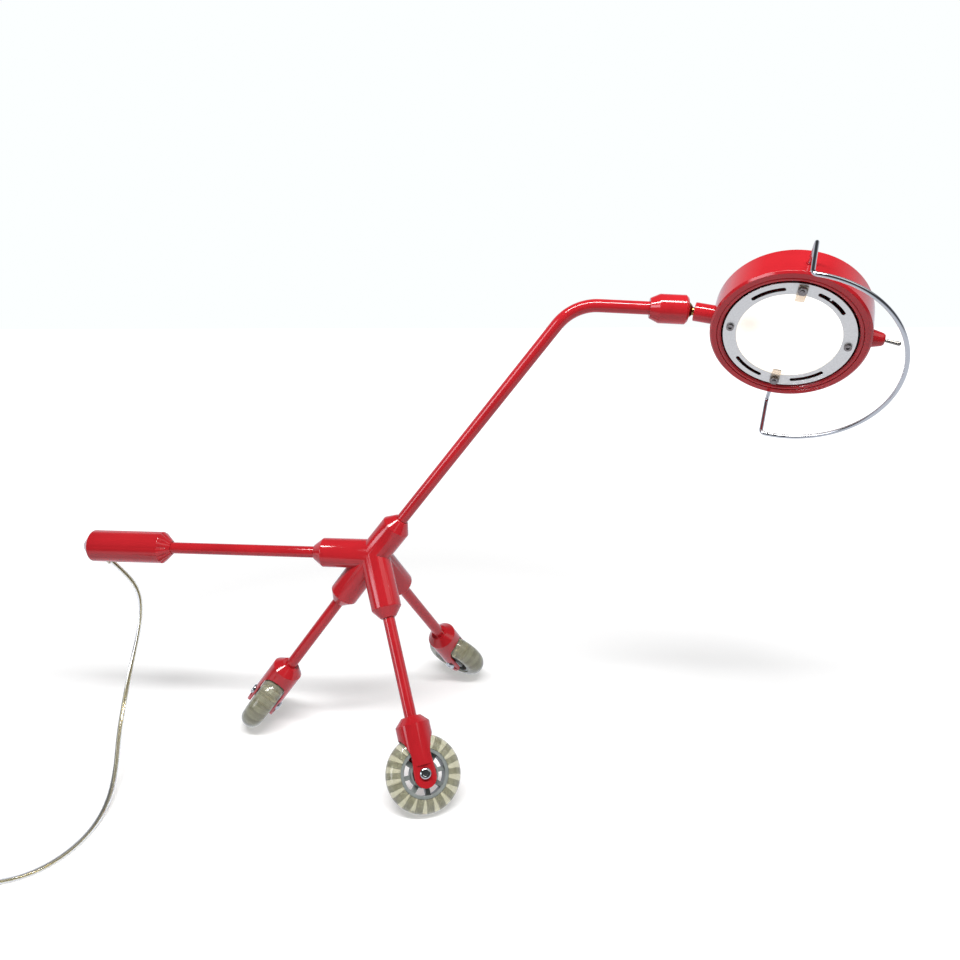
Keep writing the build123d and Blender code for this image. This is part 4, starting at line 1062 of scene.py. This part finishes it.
collar_radius = 11.0
collar_back = -25.6
collar_front = 3.0
collar_outline = [
    (rod_bore, -22),
    (rod_bore, collar_back),
    (7.6, collar_back),
    (collar_radius, -18.4),
    (collar_radius, 1.0),
    (9.0, collar_front),
    (6.4, collar_front),
    (7.0, 0.6),
    (7.05, -4.0),
]
collar = spun(collar_outline, ease=0.4)
collar.transform(stand(ball_center, end_axis))
install(collar, "collar_cup", red_enamel, "collar", "red_paint", "collar")

# Turned brass: warm and lightly tarnished in patches.
turned_brass = finish(
    "brass_turned",
    "#967641",
    {"Metallic": 1.0, "Roughness": 0.25},
    clouds=(2.0, "#846535", "#A8874D"),
)
dress(turned_brass, "ball_stud")

neck_axis = Vector(joints["head_spin"]["axis"])
neck_radius = 7.0
neck_bore = 3.05
neck_start = 7.8
neck_end = 22.6
neck_outline = [
    (neck_bore, 9.5),
    (neck_bore, neck_start),
    (neck_radius, neck_start),
    (neck_radius, neck_end),
    (neck_bore, neck_end),
]
neck = spun(neck_outline, ease=0.7)
neck.transform(stand(ball_center, neck_axis))
install(neck, "neck_sleeve", red_enamel, "head", "red_paint", "neck")


# Drum: a shallow shell spun from steel sheet, with a rolled lip, a step and a raised bead
# round its mouth. It has the same red enamel as the tubes, inside and out.

head_center = Vector(joints["handle_swing"]["pos_m"])
hinge_axis = Vector(joints["handle_swing"]["axis"])
light_axis = neck_axis.cross(hinge_axis)
head_place = stand(head_center, light_axis, neck_axis)

drum_radius = 55.0
drum_wall = 1.5
drum_edge = 1.5
drum_front = 11.6
drum_back = -16.4
lip_inner = 49.8
rim_mouth = 46.8
step_height = 10.4
rim_under = 7.6
wall_top = 6.1
bead_half = 1.3
bead_height = 1.04
bead_steps = 8
bush_radius = 2.65
bead = [
    (lip_inner - bead_half + bead_half * cos(angle), step_height + bead_height * sin(angle))
    for angle in [pi * step / bead_steps for step in range(bead_steps + 1)]
]
drum_outline = [
    (0, drum_back),
    (drum_radius - drum_edge, drum_back),
    (drum_radius, drum_back + drum_edge),
    (drum_radius, drum_front - drum_edge),
    (drum_radius - drum_edge, drum_front),
    (lip_inner, drum_front),
    *bead,
    (rim_mouth, step_height),
    (rim_mouth, rim_under),
    (drum_radius - drum_wall, wall_top),
    (drum_radius - drum_wall, drum_back + drum_wall),
    (0, drum_back + drum_wall),
]
drum = spun(drum_outline, ease=0.35, steps=160)
for side in (-1, 1):
    hole = straight_rod(start=50, end=58, radius=bush_radius, steps=32)
    hole.transform(Matrix.Rotation(-side * pi / 2, 4, "X"))
    drum = worked(drum, hole)
drum.transform(head_place)
install(drum, "drum_spinning", red_enamel, "head", "red_paint", "drum_shell")


# Drum's mouth: a pressed aluminium ring with arc slots holds the frosted glass. Two of its
# screws carry nuts and mica clips, and the reflector and lamp are behind the glass.

# Pressed aluminium: pale satin metal with the fine grain of a tumbled blank.
pressed_aluminium = finish(
    "aluminium_pressed",
    "#E2E0DC",
    {"Metallic": 1.0, "Roughness": 0.42},
    clouds=(1.2, "#D8D6D2", "#EEECE8", 4.0, 0.7),
    gloss=(1.2, 0.36, 0.5, 4.0, 0.7),
    relief=(0.7, 0.02, 0.4),
)

# Spun aluminium, brightened: clear metal whose shine varies a little.
spun_aluminium = finish(
    "aluminium_spun",
    "#DADBDC",
    {"Metallic": 1.0, "Roughness": 0.22},
    gloss=(1.0, 0.16, 0.3),
)

# Sand-blasted glass, lit from behind: its glow is painted light from the bulb, white, with a soft warm
# painted shadow over the bulb's holder.
frosted_glass, tree, shader, place = begin(
    "glass_sand_blasted", "#CBC8C2", {"Roughness": 0.35, "IOR": 1.5, "Emission Strength": 1.1}
)
# Centre of the painted shadow that the bulb's holder casts on the glass.
holder_shadow_spot = head_place @ Vector((-28.0, 4.0, 9.0))
offset = add(tree, "ShaderNodeVectorMath", {1: holder_shadow_spot}, {0: place}, operation="SUBTRACT")
spread = add(tree, "ShaderNodeVectorMath", (), {0: offset.outputs[0]}, operation="LENGTH")
dimming = add(
    tree,
    "ShaderNodeMapRange",
    {"From Min": 2 * mm, "From Max": 24 * mm, "To Min": noise_low, "To Max": noise_high},
    {"Value": spread.outputs["Value"]},
)
ramp = add(tree, "ShaderNodeValToRGB", (), {"Fac": dimming.outputs[0]})
for index, spot, colour in ((0, noise_low, "#C2B9AF"), (1, noise_high, "#FFFBF5")):
    ramp.color_ramp.elements[index].position = spot
    ramp.color_ramp.elements[index].color = linear(colour)
tree.links.new(ramp.outputs["Color"], shader.inputs["Emission Color"])

# Mica sheet, cut: pale amber film, slightly cloudy, that lets most light through.
mica = finish(
    "mica_cut",
    "#EFE0CF",
    {"Roughness": 0.12, "IOR": 1.58, "Transmission Weight": 0.75},
    clouds=(5.0, "#E8D6C2", "#F4E8DA"),
)

# Dulled zinc plate: the ring's screws and nuts, browned by heat.
heated_zinc = finish(
    "zinc_plate_heated",
    "#8C8686",
    {"Metallic": 1.0, "Roughness": 0.34},
    clouds=(1.5, "#746C6B", "#A09B99"),
)

# Steatite, pressed and fired: creamy white and dull.
white_ceramic = finish(
    "steatite_fired",
    "#EFECE4",
    {"Roughness": 0.45, "IOR": 1.55},
    clouds=(2.0, "#E6E2D8", "#F4F2EC"),
)

# Quartz glass, drawn: quite clear, with a hard gloss.
clear_quartz = finish(
    "quartz_glass_drawn",
    "#FAFAFA",
    {"Roughness": 0.03, "IOR": 1.46, "Transmission Weight": 1.0},
    gloss=(5.0, 0.02, 0.05),
)

slot_circle = 40.3
slot_middles = (57.5, 122.5, -122.5, -57.5)
slot_sweep = radians(31)
vent_half = 1.35
screw_circle = 40.7
screw_hole = 1.65
tab_angle = radians(61.7)
tab_half = 0.75
tab_reach = 3
arc_count = 16
round_count = 9
cut_low = 8
cut_high = 12


def ring_cutters():
    """Tools for the four arc slots, with a tab left in one of them, and the four screw holes."""
    tools = bmesh.new()
    cutters = []
    for middle in slot_middles:
        start = radians(middle) - slot_sweep / 2
        end = radians(middle) + slot_sweep / 2
        start_spot = (slot_circle * cos(start), slot_circle * sin(start))
        end_spot = (slot_circle * cos(end), slot_circle * sin(end))
        outline = circle_points(0, 0, slot_circle + vent_half, arc_count, start, slot_sweep)
        outline += circle_points(*end_spot, vent_half, round_count, end, pi)[1:-1]
        outline += circle_points(0, 0, slot_circle - vent_half, arc_count, end, -slot_sweep)
        outline += circle_points(*start_spot, vent_half, round_count, start - pi, pi)[1:-1]
        cutters.append(prism(outline, cut_low, cut_high))
    tab = block((slot_circle, -tab_half, cut_low - 1), (slot_circle + tab_reach, tab_half, cut_high + 1))
    tab.transform(Matrix.Rotation(tab_angle, 4, "Z"))
    for step in range(4):
        hole = straight_rod(cut_low, cut_high, screw_hole, steps=24)
        turned = Matrix.Rotation(pi / 2 * step, 4, "Z")
        hole.transform(turned @ Matrix.Translation((screw_circle, 0, 0)))
        cutters.append(hole)
    cutters[0] = worked(cutters[0], tab)
    for cutter in cutters:
        scratch = bpy.data.meshes.new("scratch")
        cutter.to_mesh(scratch)
        cutter.free()
        tools.from_mesh(scratch)
    return tools


ring_inner = 36.0
ring_outer = 45.4
ring_back = 9.4
ring_front = 10.6
ring_outline = [
    (ring_inner, ring_back),
    (ring_outer, ring_back),
    (ring_outer, ring_front),
    (ring_inner, ring_front),
]
plate = worked(spun(ring_outline, ease=0.15, steps=160, closed=True), ring_cutters())
plate.transform(head_place)
install(plate, "vent_plate", pressed_aluminium, "head", "pressed_aluminium", "vent_ring")

bowl_floor = -8.5
bowl_under = -9.3
seat_height = 6.35
seat_under = 5.55
flange_under = 8.6
flange_radius = 45.2
bowl_outline = [
    (0, bowl_floor),
    (28.0, bowl_floor),
    (34.8, seat_height),
    (37.0, seat_height),
    (37.0, ring_back),
    (flange_radius, ring_back),
    (flange_radius, flange_under),
    (37.8, flange_under),
    (37.8, seat_under),
    (35.2, seat_under),
    (28.8, bowl_under),
    (0, bowl_under),
]
bowl = worked(spun(bowl_outline, ease=0.0, steps=120), ring_cutters())
bowl.transform(head_place)
install(bowl, "reflector_bowl", spun_aluminium, "head", "spun_aluminium", "reflector")
dress(frosted_glass, "glass_disc")
dress(mica, "glass_clips")
dress(heated_zinc, "ring_screws", "ring_nuts")
dress(zinc_plate, "drum_pillars", "neck_nut")
dress(white_ceramic, "lamp_holder")
dress(clear_quartz, "bulb")


# Switch: a turned steel boss on the drum's far side, enamelled with it. A toggle switch sits
# behind the boss, and its plated lever stands out of it.

switch_turn = radians(3)
boss_bore = 3.05
boss_foot = 53.8
boss_end = 63.4
boss_outline = [
    (boss_bore, boss_foot),
    (6.8, boss_foot),
    (4.7, 61.9),
    (3.7, boss_end),
    (boss_bore, boss_end),
    (boss_bore, 61.5),
]
switch_axis = Matrix.Rotation(switch_turn, 3, light_axis) @ neck_axis
boss = spun(boss_outline, ease=0.4, steps=64)
boss.transform(stand(head_center, switch_axis, light_axis))
install(boss, "boss_cone", red_enamel, "head", "red_paint", "switch_boss")
dress(black_nylon, "toggle_switch")

# Nickel plate over brass, tumbled: a satin grey that hardly mirrors.
satin_nickel = finish(
    "nickel_plate_tumbled",
    "#8F8B85",
    {"Metallic": 1.0, "Roughness": 0.34},
    gloss=(1.5, 0.28, 0.4),
)

lever_turn = radians(-10)
lever_length = 12.9
lever_end_radius = 1.5
lever_pivot = Vector(joints["toggle_throw"]["pos_m"])
lever_axis = Matrix.Rotation(lever_turn, 3, light_axis.cross(switch_axis)) @ switch_axis
lever_ball = [(0, -2), (1.4, -1.4), (2, 0), (1.4, 1.4), (1.05, 2)]
lever_tip = circle_points(0, lever_length, lever_end_radius, count=7, start=0, sweep=pi / 2)
lever = spun(lever_ball + lever_tip, ease=0.0, steps=40)
lever.transform(stand(lever_pivot, lever_axis, light_axis))
install(lever, "lever_bat", satin_nickel, "lever", "chrome_steel", "toggle_lever")


# Handle: 3 mm spring steel wire, bent into one hoop and chromed. Its two ends turn in bushes
# in the drum's wall.

hoop_span = 72.4
hoop_reach = 38.3
hoop_bend = 3.5
hoop_end = 50.0
hoop_wire_radius = 1.5


def head_spot(x, y, z):
    """Point of the head's own frame, given in millimetres."""
    return head_place @ Vector((x, y, z))


hoop_corners = [
    head_spot(0, -hoop_end, 0),
    head_spot(0, -hoop_span, 0),
    head_spot(0, -hoop_span, hoop_reach),
    head_spot(hoop_bend * 2, -hoop_span, hoop_reach),
]
near_side = [hoop_corners[0]]
near_side += bend(hoop_corners[0], hoop_corners[1], hoop_corners[2], hoop_bend * mm, steps=8)
near_side += bend(hoop_corners[1], hoop_corners[2], hoop_corners[3], hoop_bend * mm, steps=8)
bow_steps = 72
bow = [
    head_spot(hoop_bend + hoop_span * cos(angle), hoop_span * sin(angle), hoop_reach)
    for angle in [-pi / 2 + pi * step / bow_steps for step in range(1, bow_steps)]
]
mirrored_side = [head_place.inverted() @ point for point in near_side]
far_side = [head_spot(point.x, -point.y, point.z) for point in reversed(mirrored_side)]
install(
    bent_rod(near_side + bow + far_side, hoop_wire_radius, sides=10),
    "hoop_wire",
    chrome_plate,
    "handle",
    "chrome_steel",
    "wire_hoop",
)
dress(red_enamel, "hoop_bushes")

low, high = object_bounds()
